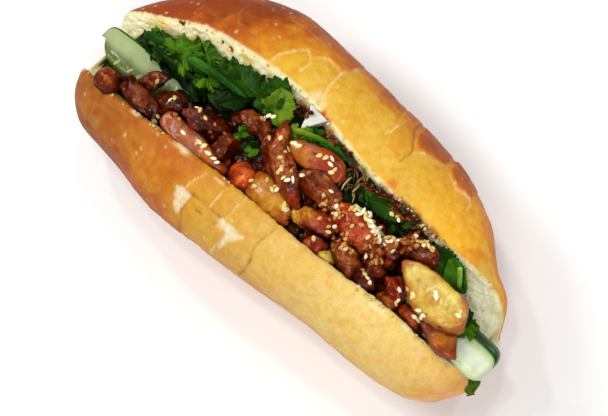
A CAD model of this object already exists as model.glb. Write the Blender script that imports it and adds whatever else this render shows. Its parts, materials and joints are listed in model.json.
"""Looks of a banh mi sandwich: crackled crust, crumb, glazed pork, herbs, cucumber and sesame.

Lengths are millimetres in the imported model's frame, and meshes are written in metres. Colours are
sRGB from 0 to 255. Each seed picks one repeatable pattern of noise.
"""
import itertools
import json
import math

import bpy
import numpy as np
from mathutils import Euler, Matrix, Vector
from mathutils.bvhtree import BVHTree


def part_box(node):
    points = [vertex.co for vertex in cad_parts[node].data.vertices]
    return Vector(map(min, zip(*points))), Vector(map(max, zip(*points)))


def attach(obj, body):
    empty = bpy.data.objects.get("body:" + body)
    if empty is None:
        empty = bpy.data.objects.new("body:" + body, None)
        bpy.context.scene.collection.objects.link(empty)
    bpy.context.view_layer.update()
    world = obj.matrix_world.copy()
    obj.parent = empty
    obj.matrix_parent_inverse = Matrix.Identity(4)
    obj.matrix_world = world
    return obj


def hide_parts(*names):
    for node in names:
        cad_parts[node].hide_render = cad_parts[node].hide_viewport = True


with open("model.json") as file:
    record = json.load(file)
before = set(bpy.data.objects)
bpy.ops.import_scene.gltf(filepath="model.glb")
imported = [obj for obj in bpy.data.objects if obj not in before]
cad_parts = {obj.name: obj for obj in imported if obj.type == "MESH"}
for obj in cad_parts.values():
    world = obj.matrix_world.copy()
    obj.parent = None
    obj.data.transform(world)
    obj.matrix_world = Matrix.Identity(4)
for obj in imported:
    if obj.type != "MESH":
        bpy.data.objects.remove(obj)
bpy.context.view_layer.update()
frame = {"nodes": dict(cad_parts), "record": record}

MM = 0.001

# ---------------------------------------------------------------- colours
BAKE_STEPS = (0.0, 0.2, 0.4, 0.6, 0.8, 1.0)
BAKE_COLOURS = ((246, 216, 130), (240, 198, 84), (234, 178, 50), (222, 140, 26), (198, 98, 12), (152, 64, 12))
FLOUR = (240, 230, 200)
CRACK = (150, 92, 40)
CRACK_PALE = (244, 218, 150)
CRUMB = (236, 229, 182)
CRUMB_PIT = (222, 208, 156)
CRUMB_FRESH = (254, 247, 208)
CRUMB_YELLOW = (226, 198, 96)
OIL = (216, 120, 34)
CHILLI = (196, 44, 14)
SAUCE = (64, 18, 4)
CHAR = (34, 18, 12)


def linear(colour):
    """Scene-linear value of an sRGB colour."""
    c = np.asarray(colour, float) / 255
    return np.where(c <= 0.04045, c / 12.92, ((c + 0.055) / 1.055) ** 2.4)


def blend(a, b, share):
    """Colours between a and b; share is one number for each point."""
    share = np.clip(np.asarray(share, float), 0, 1)[..., None]
    return a * (1 - share) + b * share


def ramp(steps, colours, x):
    """Colours read from a few named ones."""
    table = np.array([linear(c) for c in colours])
    return np.stack([np.interp(x, steps, table[:, i]) for i in range(3)], axis=-1)


def step(x, low, high):
    """Smooth rise from 0 at low to 1 at high."""
    s = np.clip((np.asarray(x, float) - low) / (high - low), 0, 1)
    return s * s * (3 - 2 * s)


# ---------------------------------------------------------------- repeatable noise
def lattice(corner, seed):
    """Random number from 0 to 1 that belongs to a lattice point."""
    n = corner[..., 0] * 374761393 + corner[..., 1] * 668265263 + corner[..., 2] * 1440662683 + seed * 974711
    n = n & 0xFFFFFFFF
    n = ((n ^ (n >> 13)) * 1274126177) & 0xFFFFFFFF
    n = ((n ^ (n >> 15)) * 668265263) & 0xFFFFFFFF
    return ((n ^ (n >> 16)) & 0xFFFFFF) / 0xFFFFFF


def lumps(points, size, seed):
    """Smooth noise from -1 to 1 with lumps about size apart."""
    q = points / size
    base = np.floor(q).astype(np.int64)
    f = q - base
    f = f * f * (3 - 2 * f)
    total = np.zeros(len(points))
    for corner in itertools.product((0, 1), repeat=3):
        weight = np.prod(np.where(corner, f, 1 - f), axis=1)
        total += weight * lattice(base + np.array(corner), seed)
    return 2 * total - 1


def rough(points, size, octaves, seed):
    """Noise with finer and finer lumps."""
    total = np.zeros(len(points))
    for k in range(octaves):
        total += lumps(points, size / 2 ** k, seed + 11 * k) / 2 ** k
    return total


def cells(points, size, seed):
    """Nearest and second nearest cell centre, in cell sizes, and the nearest cell's own random number."""
    q = points / size
    base = np.floor(q).astype(np.int64)
    near = np.full(len(points), 9.0)
    second = np.full(len(points), 9.0)
    own = np.zeros(len(points))
    for corner in itertools.product((-1, 0, 1), repeat=3):
        cell = base + np.array(corner)
        centre = cell + np.stack([lattice(cell, seed + k) for k in range(3)], axis=1)
        distance = np.linalg.norm(q - centre, axis=1)
        closer = distance < near
        second = np.where(closer, near, np.minimum(second, distance))
        own = np.where(closer, lattice(cell, seed + 7), own)
        near = np.where(closer, distance, near)
    return near, second, own


# ---------------------------------------------------------------- meshes
def mesh_of(name, points, faces, tint=None):
    """Smooth mesh in metres from points in mm, with a colour for each point."""
    mesh = bpy.data.meshes.new(name)
    mesh.from_pydata((np.asarray(points, float) * MM).tolist(), [], faces)
    mesh.polygons.foreach_set("use_smooth", [True] * len(mesh.polygons))
    if tint is not None:
        paint(mesh, tint)
    return mesh


def paint(mesh, tint):
    """Stores linear colours on a mesh's points."""
    layer = mesh.color_attributes.get("tint") or mesh.color_attributes.new("tint", "FLOAT_COLOR", "POINT")
    rgba = np.ones((len(mesh.vertices), 4), np.float32)
    rgba[:, :3] = tint
    layer.data.foreach_set("color", rgba.ravel())


def add_piece(name, mesh, look, slot, *nodes):
    """Object on the sandwich's body that stands for the named CAD nodes."""
    mesh.materials.clear()
    mesh.materials.append(look)
    piece = bpy.data.objects.new(name, mesh)
    bpy.context.scene.collection.objects.link(piece)
    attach(piece, "root")
    if nodes:
        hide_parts(*nodes)
    return piece


def corners_of(mesh):
    """A mesh's points and their normals, in mm."""
    points = np.zeros(len(mesh.vertices) * 3)
    normals = np.zeros(len(mesh.vertices) * 3)
    mesh.vertices.foreach_get("co", points)
    mesh.vertex_normals.foreach_get("vector", normals)
    return points.reshape(-1, 3) / MM, normals.reshape(-1, 3)


def move_corners(mesh, points):
    """Writes moved points back, in mm."""
    mesh.vertices.foreach_set("co", (points * MM).ravel())
    mesh.update()


def fine_copy(node, voxel, smoothing):
    """Even, rounded copy of a CAD node's mesh."""
    holder = bpy.data.objects.new(node + "_fine", frame["nodes"][node].data.copy())
    bpy.context.scene.collection.objects.link(holder)
    remesh = holder.modifiers.new("remesh", "REMESH")
    remesh.mode = "VOXEL"
    remesh.voxel_size = voxel * MM
    smooth = holder.modifiers.new("smooth", "SMOOTH")
    smooth.factor = 0.5
    smooth.iterations = smoothing
    graph = bpy.context.evaluated_depsgraph_get()
    mesh = bpy.data.meshes.new_from_object(holder.evaluated_get(graph))
    bpy.data.objects.remove(holder)
    mesh.polygons.foreach_set("use_smooth", [True] * len(mesh.polygons))
    return mesh


class Heap:
    """Many small forms gathered into one mesh."""

    def __init__(self):
        self.points = []
        self.faces = []
        self.tints = []
        self.count = 0

    def add(self, points, faces, tint):
        """Adds one form; tint is one colour or one for each point."""
        self.points.append(points)
        self.faces.extend(tuple(self.count + i for i in face) for face in faces)
        self.tints.append(np.broadcast_to(tint, (len(points), 3)))
        self.count += len(points)

    def piece(self, name, look, slot, *nodes):
        """Makes the object."""
        mesh = mesh_of(name, np.concatenate(self.points), self.faces, np.concatenate(self.tints))
        return add_piece(name, mesh, look, slot, *nodes)


def ring_faces(count, around):
    """Faces between the rings of a tube that is open at both ends."""
    faces = []
    for i in range(count - 1):
        for j in range(around):
            a = i * around + j
            b = i * around + (j + 1) % around
            faces.append((a, a + around, b + around, b))
    return faces


def turned_over(faces):
    """Faces whose front is the other side."""
    return [face[:1] + face[:0:-1] for face in faces]


def ball(rings, around):
    """Unit ball as points and faces."""
    points = [(0, 0, 1)]
    for i in range(1, rings):
        for j in range(around):
            a = math.pi * i / rings
            b = 2 * math.pi * j / around
            points.append((math.sin(a) * math.cos(b), math.sin(a) * math.sin(b), math.cos(a)))
    points.append((0, 0, -1))
    faces = []
    for j in range(around):
        k = (j + 1) % around
        faces.append((0, 1 + j, 1 + k))
        for i in range(rings - 2):
            a = 1 + i * around
            faces.append((a + j, a + around + j, a + around + k, a + k))
        last = 1 + (rings - 2) * around
        faces.append((len(points) - 1, last + k, last + j))
    return np.array(points), faces


def placed(points, place, turn):
    """Points turned by roll, pitch and yaw in degrees, then moved."""
    rotation = np.array(Euler([math.radians(a) for a in turn]).to_matrix())
    return points @ rotation.T + np.asarray(place, float)


def laid(points, place, normal, spin):
    """Points whose own Z is laid along a surface normal, spun about it and moved."""
    z = Vector(normal).normalized()
    rotation = np.array(z.to_track_quat("Z", "Y").to_matrix()) @ np.array(Euler((0, 0, spin)).to_matrix())
    return points @ rotation.T + np.asarray(place, float)


# ---------------------------------------------------------------- materials
def grain_of(nodes, links, place, scale, detail):
    """Noise at each place, from 0 to 1, with a scale per metre."""
    grain = nodes.new("ShaderNodeTexNoise")
    grain.inputs["Scale"].default_value = scale
    grain.inputs["Detail"].default_value = detail
    links.new(place.outputs["Position"], grain.inputs["Vector"])
    return grain.outputs["Fac"]


def raised(nodes, links, place, bumps):
    """Normal of a surface raised by noise; bumps are (noise scale per m, height in mm)."""
    normal = None
    for scale, height in bumps:
        grain = grain_of(nodes, links, place, scale, 2)
        bump = nodes.new("ShaderNodeBump")
        bump.inputs["Distance"].default_value = height * MM
        bump.inputs["Strength"].default_value = 1.0
        links.new(grain, bump.inputs["Height"])
        if normal is not None:
            links.new(normal, bump.inputs["Normal"])
        normal = bump.outputs["Normal"]
    return normal


def look_of(name, roughness, marks=(), bumps=(), subsurface=0.0, radius=(1, 0.5, 0.3), coat=0.0,
            coat_roughness=0.1, coat_bumps=(), specular=0.5):
    """Principled material: the mesh's tint, mottled by noise, with bumps on it and on its coat.

    marks are (noise scale per m, colour, low, high): noise from low to high mixes the colour in.
    """
    made = bpy.data.materials.new(name)
    made.use_nodes = True
    nodes = made.node_tree.nodes
    links = made.node_tree.links
    shader = nodes["Principled BSDF"]
    place = nodes.new("ShaderNodeNewGeometry")
    tint = nodes.new("ShaderNodeVertexColor")
    tint.layer_name = "tint"
    colour = tint.outputs["Color"]
    for scale, mark, low, high in marks:
        grain = grain_of(nodes, links, place, scale, 3)
        share = nodes.new("ShaderNodeMapRange")
        share.inputs["From Min"].default_value = low
        share.inputs["From Max"].default_value = high
        links.new(grain, share.inputs["Value"])
        mix = nodes.new("ShaderNodeMix")
        mix.data_type = "RGBA"
        mix.blend_type = "MULTIPLY"
        mix.inputs["B"].default_value = (*mark, 1)
        links.new(share.outputs["Result"], mix.inputs["Factor"])
        links.new(colour, mix.inputs["A"])
        colour = mix.outputs["Result"]
    links.new(colour, shader.inputs["Base Color"])
    for socket, layers in (("Normal", bumps), ("Coat Normal", coat_bumps)):
        if layers:
            links.new(raised(nodes, links, place, layers), shader.inputs[socket])
    shader.inputs["Roughness"].default_value = roughness
    shader.inputs["Specular IOR Level"].default_value = specular
    shader.inputs["Subsurface Weight"].default_value = subsurface
    shader.inputs["Subsurface Radius"].default_value = [c * MM for c in radius]
    shader.inputs["Subsurface Scale"].default_value = 1.0
    shader.inputs["Coat Weight"].default_value = coat
    shader.inputs["Coat Roughness"].default_value = coat_roughness
    return made


CRUST_LOOK = look_of("crust_baked", 0.55, marks=((260, (0.93, 0.82, 0.62), 0.45, 0.7),
                                                 (900, (0.95, 0.88, 0.76), 0.5, 0.8),
                                                 (2400, (0.9, 0.8, 0.62), 0.5, 0.72)),
                     bumps=((1700, 0.2), (420, 0.25)), specular=0.2)
CRUMB_LOOK = look_of("crumb", 0.9, marks=((700, (0.94, 0.9, 0.76), 0.5, 0.75),),
                     bumps=((900, 0.5), (2600, 0.25)), subsurface=0.3, radius=(2.0, 1.6, 1.0), specular=0.1)
PORK_LOOK = look_of("pork_glazed", 0.5, marks=((420, (0.62, 0.36, 0.22), 0.5, 0.68),
                                               (1300, (0.72, 0.46, 0.32), 0.52, 0.7)),
                    bumps=((1500, 0.2), (520, 0.6)), subsurface=0.15, radius=(2.2, 0.5, 0.15), coat=0.45,
                    coat_roughness=0.06, coat_bumps=((1100, 0.12), (420, 0.3)), specular=0.0)
FAT_LOOK = look_of("pork_fat_glazed", 0.45, marks=((240, (0.94, 0.78, 0.5), 0.48, 0.68),
                                                   (900, (0.94, 0.8, 0.55), 0.5, 0.72)),
                   bumps=((1300, 0.15), (420, 0.3)), subsurface=0.35, radius=(3.4, 1.7, 0.5), coat=0.6,
                   coat_roughness=0.06, coat_bumps=((1000, 0.16), (360, 0.3)), specular=0.02)
LEAF_LOOK = look_of("herb_leaf", 0.45, marks=((500, (0.66, 0.78, 0.5), 0.45, 0.7),),
                    bumps=((900, 0.35),), subsurface=0.1, radius=(0.4, 0.9, 0.1), coat=0.1,
                    coat_roughness=0.1, coat_bumps=((800, 0.2),), specular=0.03)
SEED_LOOK = look_of("sesame_seed", 0.42, marks=((1500, (0.93, 0.85, 0.62), 0.5, 0.75),),
                    bumps=((2500, 0.05),), subsurface=0.25, radius=(0.8, 0.7, 0.5), coat=0.15, specular=0.3)
CUCUMBER_LOOK = look_of("cucumber_cut", 0.32, marks=((450, (0.93, 0.97, 0.8), 0.45, 0.7),),
                        bumps=((1100, 0.1),), subsurface=0.35, radius=(2.5, 3.0, 1.5), coat=0.12,
                        specular=0.15)
RADISH_LOOK = look_of("pickled_radish", 0.35, marks=((400, (0.92, 0.94, 0.9), 0.45, 0.7),),
                      bumps=((700, 0.12),), subsurface=0.4, radius=(2.0, 2.0, 1.8), coat=0.2, specular=0.3)


# ---------------------------------------------------------------- bread
# The roll's sizes as in the solid model, in its own coordinates; CENTRE moves them into the frame.
CENTRE = np.array((2.8, 2.8, 0.0))
AXIS_HEIGHT = 39.0
LOW_CENTRE, LOW_HALF = 0.8, 114.0
TOP_CENTRE, TOP_HALF = -2.4, 112.4
STATION = (-1, -0.93, -0.82, -0.65, -0.4, 0, 0.4, 0.65, 0.82, 0.93, 1)
LOW_REACH = (29, 41, 48, 49.5, 53.5, 51, 45.5, 44, 41, 34, 22.5)
TOP_REACH = (5, 18.5, 35, 51, 60, 58, 53.5, 43.5, 28, 20.5, 7)
EDGE_STATION = (-1, -0.85, -0.6, -0.2, 0.2, 0.6, 0.85, 1)
LOW_EDGE = (-29, -29.5, -29, -26, -24.5, -20.5, -19.5, -15.5)
TOP_EDGE = (1.5, 7.5, 19, 23.5, 17, 14.5, 17.5, 12)
ROUNDNESS = 2.6
END_POWER = 2.8
END_DEPTH = 8.0
RISE = 31.0
FALL = 32.5
LEAN = 0.16
LEAN_START = 1.6
WIDEST_CUT = 0.995
LIP = 1.6
RIM_DROP = 0.5
TROUGH_DEPTH = 0.63
TROUGH_WIDTH = 0.56
TROUGH_ROUNDNESS = 3.2
FLOOR_SHIFT = 3.0

# The fine mesh: sections along the roll, points on the crust and as many on the crumb in each, and
# how the sections crowd towards the ends. Points lie closer together above the two heights. Its ends
# are closed by a few more rings that reach out and draw together.
BREAD_RINGS = 366
BREAD_AROUND = 130
END_CROWDING = 0.35
END_SWEEP = 0.985
FINE_CRUST_HEIGHT = 46
FINE_CRUMB_HEIGHT = 58
CAP_RINGS = 5
CAP_LENGTH = 1.2
CAP_PULL = 0.96

# How far the crust is baked, from 0 pale to 1 dark, at stations along each half:
# beside the cut edge, half-way out, and at the half's outer side.
BAKE_STATION = (-1, -0.8, -0.6, -0.4, -0.2, 0, 0.3, 0.6, 0.8, 1)
BAKE_TOP = ((0.95, 0.86, 0.74, 0.44, 0.36, 0.33, 0.34, 0.4, 0.5, 0.6),
            (1.0, 0.95, 0.89, 0.6, 0.44, 0.4, 0.42, 0.44, 0.6, 0.8),
            (1.0, 0.95, 0.85, 0.78, 0.74, 0.72, 0.72, 0.72, 0.8, 0.9))
BAKE_LOW = ((0.85, 0.78, 0.72, 0.56, 0.4, 0.26, 0.18, 0.14, 0.24, 0.5),
            (0.88, 0.8, 0.72, 0.56, 0.38, 0.28, 0.22, 0.2, 0.32, 0.6),
            (0.9, 0.8, 0.74, 0.66, 0.55, 0.52, 0.52, 0.52, 0.58, 0.75))
MID_GIRTH, OUT_GIRTH = 22.0, 46.0
# How the crust's hue shifts along each half: factors on red, green and blue at stations.
LOW_STATION = (-1, -0.7, -0.45, 0, 0.25, 0.5, 0.8, 1)
LOW_TINT = ((0.58, 0.6, 0.72, 0.76, 0.84, 0.88, 0.92, 1.14),
            (0.72, 0.7, 0.69, 0.68, 0.82, 0.9, 0.97, 1.08),
            (1.1, 1.0, 0.75, 0.55, 0.82, 0.92, 1.15, 1.1))
TOP_STATION = (-1, -0.55, -0.1, 0.4, 0.6, 0.85, 1)
TOP_TINT = ((1.0, 0.84, 0.9, 0.9, 1.06, 1.14, 1.1),
            (0.9, 0.9, 0.97, 0.96, 1.03, 1.28, 1.2),
            (0.5, 0.5, 1.2, 1.2, 0.9, 1.7, 1.7))

# Marks on the crust are placed in a leaning plan: along and across the roll, as the eye above its
# lower half sees them. One unit of the plan is PLAN_SCALE mm, and it shifts with the height above
# PLAN_HEIGHT.
PLAN_HEIGHT = 78.0
PLAN_LEAN = (0.208, -0.233)
PLAN_ORIGIN = (3.75, -11.2)
PLAN_SCALE = 1.026

# Plates of the crackled crust: outline, how much darker it is baked, how far it is raised in mm.
# Those whose first point lies below LOW_PLATES are on the low half.
LOW_PLATES = -13
PLATES = (
    (((-120, 20), (-76, 39), (-60, 46), (-51, 50.5), (-51, 64), (-120, 64)), 0.24, 0.9),
    (((-51, 64), (-50.5, 50), (-46, 47), (-38, 48), (-33, 50), (-29, 48.5), (-24, 48), (-18, 56), (-18, 64)),
     0.26, 0.7),
    (((-18, 64), (-17.5, 56), (-12, 51), (-6, 50), (-5, 64)), 0.1, 0.3),
    (((-5, 64), (-5.5, 51), (-1, 49.5), (6, 51), (9, 49), (9, 64)), 0.22, 0.3),
    (((9.5, 64), (11, 44), (14, 37), (20, 35.5), (24, 40), (24, 44), (19, 50), (18.5, 64)), 0.13, 0.5),
    (((20, 64), (21, 50), (25, 46), (31, 45.5), (38, 49), (39, 64)), 0.3, 0.4),
    (((41, 64), (41, 49), (44, 45), (50, 43.5), (56.5, 44), (57, 49), (56, 64)), 0.32, 0.9),
    (((57, 64), (57.5, 46), (64, 40), (71, 36), (80, 31), (97, 21), (108, 20), (108, 64)), 0.14, 0.4),
    (((-120, -12), (-105, 6), (-90, 15), (-75, 22), (-62, 27), (-49, 28), (-48, 36), (-44.5, 42), (-41, 46.5),
      (-46, 47), (-50.5, 50), (-60, 46), (-76, 39), (-120, 20)), 0.12, 0.35),
    (((-41, 46.5), (-37.5, 44), (-33, 47.5), (-30, 48.5), (-33, 50), (-38, 48)), 0.1, 0.2),
    (((70, 25), (77, 26), (78, 30), (72, 30)), 0.1, 0.1),
    (((-64, -20), (-33, -24), (-36, -33), (-35, -36), (-40, -37), (-31, -47), (-25, -51), (-25, -62),
      (-60, -62), (-52, -44), (-57, -32)), 0.1, 0.3),
    (((-120, -38), (-80, -44), (-62, -42), (-50, -46), (-45, -46), (-35, -50), (-25, -51), (-25, -64),
      (-120, -64)), 0.12, 0.2),
    (((-30, -36), (-25, -34.5), (-15, -34.5), (-15, -38), (-9, -40), (-8, -51), (-25, -51), (-30.5, -43)),
     0.0, 0.7),
    (((-22, -20), (-13, -20), (-13.7, -34), (-22, -34)), 0.08, 0.4),
    (((-33, -20), (-22, -20), (-22, -34), (-35, -36)), 0.03, 0.5),
)
# Cracks: their line, depth and half width in mm, colour. Those that end below 0 are on the low half.
CRACKS = (
    (((-17.5, 57), (-23.5, 48), (-23, 43), (-22, 38), (-20.5, 34), (-18.5, 29)), 0.6, 0.75, CRACK_PALE),
    (((-23.5, 48), (-30, 48.5), (-33, 47.5), (-37.5, 44), (-41, 46.5), (-44.5, 42), (-48, 36), (-49, 30)),
     0.35, 0.35, CRACK_PALE),
    (((-37.5, 44), (-36, 41), (-37, 37)), 0.25, 0.3, CRACK_PALE),
    (((12, 52), (11, 44), (10, 40)), 0.25, 0.3, CRACK_PALE),
    (((18, 54), (18.5, 50), (22, 46.5), (24, 43), (23, 36)), 0.45, 0.3, CRACK),
    (((24, 43), (29, 45.5), (36, 46.5), (39, 50)), 0.3, 0.3, CRACK_PALE),
    (((42, 46), (48, 43.5), (56, 44), (58, 42), (59, 37)), 0.3, 0.3, CRACK_PALE),
    (((4.5, -21), (4, -31), (4.5, -35), (6.5, -40), (7, -45), (7, -49)), 0.9, 0.28, CRACK),
    (((-22, -20), (-22.6, -27), (-22, -33)), 0.5, 0.22, CRACK_PALE),
    (((-13, -20), (-13.2, -27), (-13.7, -33)), 0.5, 0.22, CRACK_PALE),
    (((-33, -24), (-36, -33), (-35, -36)), 0.4, 0.22, CRACK_PALE),
    (((-31, -36), (-25, -34.5), (-15, -34.5)), 0.7, 0.36, CRACK),
    (((-27, -38), (-20, -39), (-15, -38.5)), 0.5, 0.3, CRACK),
    (((-31, -36), (-30.5, -43), (-28, -47), (-25, -51)), 0.8, 0.4, CRACK),
    (((-9, -43), (-8.5, -51)), 0.3, 0.3, CRACK_PALE),
)
# Floury scars: outline and strength. Those whose first point lies below 0 are on the low half.
SCARS = (
    (((-40, -36), (-31, -36), (-30.5, -40), (-31.5, -46), (-35, -44)), 0.85),
    (((-15, -34), (-2, -34), (-7, -45.5), (-9, -43), (-10, -38), (-15, -38.5)), 0.85),
    (((-27, 31), (-25, 34.5), (-21, 35.5), (-17, 33), (-17.5, 27), (-22, 27)), 0.55),
    (((-29, 26), (-12, 26), (-12, 28), (-20, 30), (-29, 28)), 0.4),
)
# Oil, chilli, sauce and torn pale spots on the bread: middle, half length, half width, colour, strength.
# Those whose middle lies below 0 are on the low half.
STAINS = (
    (-13.5, 27.8, 4.2, 2.0, CHILLI, 0.95), (-15.5, 29.5, 1.6, 1.2, CHILLI, 0.8), (-8, 26, 3.0, 1.5, OIL, 0.8),
    (-24, 26, 3.5, 1.6, OIL, 0.85), (3, 22.5, 6, 1.8, OIL, 0.8), (27, 26, 2.4, 3.2, OIL, 0.85),
    (17, 37, 3.5, 1.4, OIL, 0.5), (35, 23, 12, 1.2, OIL, 0.6), (12, 23, 9, 2.0, CRUMB_YELLOW, 0.7),
    (54, 22.5, 5, 1.2, OIL, 0.5), (74, 26, 3.0, 2.0, OIL, 0.35), (-57, 25, 4, 2, CRUMB_YELLOW, 0.9),
    (-66, 23, 3, 1.5, CRUMB_YELLOW, 0.7), (-77, 16, 7, 3, CRUMB_YELLOW, 0.9),
    (-90, 9, 6, 3, CRUMB_YELLOW, 0.8), (-98, 9, 5, 4, CRUMB_YELLOW, 0.6),
    (-93, 13, 8, 1.5, CRUMB_YELLOW, 0.7), (-80, 11, 3, 1.5, OIL, 0.7), (-62, 19, 3, 1.5, OIL, 0.6),
    (82, 24, 5, 2.5, CRUMB_YELLOW, 0.6), (38, 21.2, 23, 3.0, SAUCE, 0.95), (8, 22.0, 12, 2.6, SAUCE, 0.85),
    (-22, 24.4, 9, 2.4, SAUCE, 0.85), (62, 20.5, 8, 2.2, SAUCE, 0.7), (100, 15, 6, 3, CRUMB_YELLOW, 0.35),
    (-27, -23.4, 4, 1.0, CRUMB, 0.4), (-47, -24.2, 5, 1.0, CRUMB, 0.5), (58, -18.5, 4, 1.4, CRUMB, 0.9),
    (-26, -22, 6, 0.8, CHILLI, 0.6), (-52, -25, 8, 1.2, OIL, 0.4),
)
# The top half's crumb bulges into the opening: mm inwards per mm of depth, at stations.
BULGE_STATION = (-1, -0.9, -0.5, -0.25, 0, 0.5, 0.7, 0.9, 1)
BULGE = (0.1, 0.55, 0.7, 0.4, 0.1, 0.1, 0.5, 0.75, 0.3)
BULGE_DEPTH = 16.0


def curve(knots, values, x):
    """Smooth monotone curve through a few values."""
    k = np.asarray(knots, float)
    v = np.asarray(values, float)
    x = np.clip(x, k[0], k[-1])
    d = np.diff(v) / np.diff(k)
    both = d[:-1] + d[1:]
    inner = np.where(d[:-1] * d[1:] > 0, 2 * d[:-1] * d[1:] / np.where(both == 0, 1, both), 0)
    m = np.concatenate([d[:1], inner, d[-1:]])
    i = np.clip(np.searchsorted(k, x) - 1, 0, len(k) - 2)
    h = k[i + 1] - k[i]
    s = (x - k[i]) / h
    start = v[i] * (2 * s ** 3 - 3 * s ** 2 + 1) + m[i] * h * (s ** 3 - 2 * s ** 2 + s)
    return start + v[i + 1] * (3 * s ** 2 - 2 * s ** 3) + m[i + 1] * h * (s ** 3 - s ** 2)


def end_fall(t):
    """1 in the middle of the roll, 0 at its two ends."""
    return np.maximum(0.0, 1.0 - np.abs(t) ** END_POWER) ** (1.0 / END_POWER)


def crust_lines(t, f):
    """Crust points (y, z) at stations t and shares f of the way round; arrays of one shape."""
    left = curve(STATION, LOW_REACH, t)
    right = curve(STATION, TOP_REACH, t)
    up = END_DEPTH + RISE * end_fall(t)
    down = END_DEPTH + FALL * end_fall(t)
    low = np.maximum(curve(EDGE_STATION, LOW_EDGE, t), -left * WIDEST_CUT)
    top = np.minimum(curve(EDGE_STATION, TOP_EDGE, t), right * WIDEST_CUT)
    low_z = up * (1 - np.abs(low / left) ** ROUNDNESS) ** (1 / ROUNDNESS)
    top_z = up * (1 - np.abs(top / right) ** ROUNDNESS) ** (1 / ROUNDNESS)
    first = np.arctan2(low_z, low)
    last = np.arctan2(top_z, top) + 2 * math.pi
    angle = first + (last - first) * f
    c = np.cos(angle)
    s = np.sin(angle)
    a = np.where(c < 0, left, right)
    b = np.where(s > 0, up, down)
    r = (np.abs(c / a) ** ROUNDNESS + np.abs(s / b) ** ROUNDNESS) ** (-1 / ROUNDNESS)
    y = r * c
    z = r * s
    y = np.where(y < 0, y - LEAN * z * np.minimum(1, -LEAN_START * y / left), y)
    return y, np.maximum(z + AXIS_HEIGHT, 0.0)


def crumb_lines(t, f):
    """Points (y, z) of the trough's face."""
    low_y, low_z = crust_lines(t, np.zeros_like(t))
    top_y, top_z = crust_lines(t, np.ones_like(t))
    floor = AXIS_HEIGHT - TROUGH_DEPTH * (END_DEPTH + FALL * end_fall(t))
    middle = (low_y + top_y) / 2
    half = (top_y - low_y) / 2 - LIP
    angle = math.pi * (1 + f)
    across = np.sign(np.cos(angle)) * np.abs(np.cos(angle)) ** (2 / TROUGH_ROUNDNESS)
    depth = np.abs(np.sin(angle)) ** (2 / TROUGH_ROUNDNESS)
    rim = low_z + (top_z - low_z) * f - RIM_DROP
    y = middle + FLOOR_SHIFT * end_fall(t) * depth + half * (1 + (TROUGH_WIDTH - 1) * depth) * across
    return y, rim + (floor - rim) * depth


def spaced(lines, t, count, fine_above):
    """Shares round each section whose points are even in length, and denser above a height."""
    dense = np.linspace(0, 1, 900)
    shares = []
    for station in t:
        y, z = lines(np.full_like(dense, station), dense)
        weight = 0.28 + 0.72 * step((z[1:] + z[:-1]) / 2, fine_above - 8, fine_above + 8)
        run = np.concatenate([[0], np.cumsum(np.hypot(np.diff(y), np.diff(z)) * weight)])
        shares.append(np.interp(np.linspace(0, run[-1], count), run, dense))
    return np.array(shares)


def girths(y, z):
    """Distance from a line's first point."""
    steps = np.hypot(np.diff(y, axis=1), np.diff(z, axis=1))
    return np.concatenate([np.zeros((len(y), 1)), np.cumsum(steps, axis=1)], axis=1)


def section_points(stations, f, y, z):
    """Points of the sections; their place along the roll passes from the low half's to the top half's."""
    centre = LOW_CENTRE + (TOP_CENTRE - LOW_CENTRE) * f
    x = centre + (LOW_HALF + (TOP_HALF - LOW_HALF) * f) * stations
    return np.stack([x, y, z], axis=2)


def grid_normals(points):
    """Unit normals of a closed tube's grid of points (rings, around, 3), pointing out."""
    along = np.gradient(points, axis=0)
    around = np.roll(points, -1, axis=1) - np.roll(points, 1, axis=1)
    normal = np.cross(around, along)
    return normal / np.maximum(np.linalg.norm(normal, axis=2, keepdims=True), 1e-9)


def plan_of(points):
    """Place of each point in the leaning plan; points are in the frame's mm."""
    rise = points[:, 2] - PLAN_HEIGHT
    across = [(points[:, i] - PLAN_LEAN[i] * rise - PLAN_ORIGIN[i]) / PLAN_SCALE for i in (0, 1)]
    return across[0], across[1]


def inside_of(x, g, corners):
    """Depth of each place inside a closed outline, negative outside it."""
    distance = line_distance(x, g, corners + corners[:1])
    within = np.zeros(x.shape, bool)
    for (x0, g0), (x1, g1) in zip(corners, corners[1:] + corners[:1]):
        if g0 != g1:
            crossed = x < x0 + (g - g0) * (x1 - x0) / (g1 - g0)
            within ^= ((g0 > g) != (g1 > g)) & crossed
    return np.where(within, distance, -distance)


def line_distance(x, g, points):
    """Distance of each place (x, g) from a broken line."""
    best = np.full(x.shape, 99.0)
    for (x0, g0), (x1, g1) in zip(points[:-1], points[1:]):
        run = np.array((x1 - x0, g1 - g0), float)
        s = np.clip(((x - x0) * run[0] + (g - g0) * run[1]) / (run @ run), 0, 1)
        best = np.minimum(best, np.hypot(x - x0 - s * run[0], g - g0 - s * run[1]))
    return best


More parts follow.
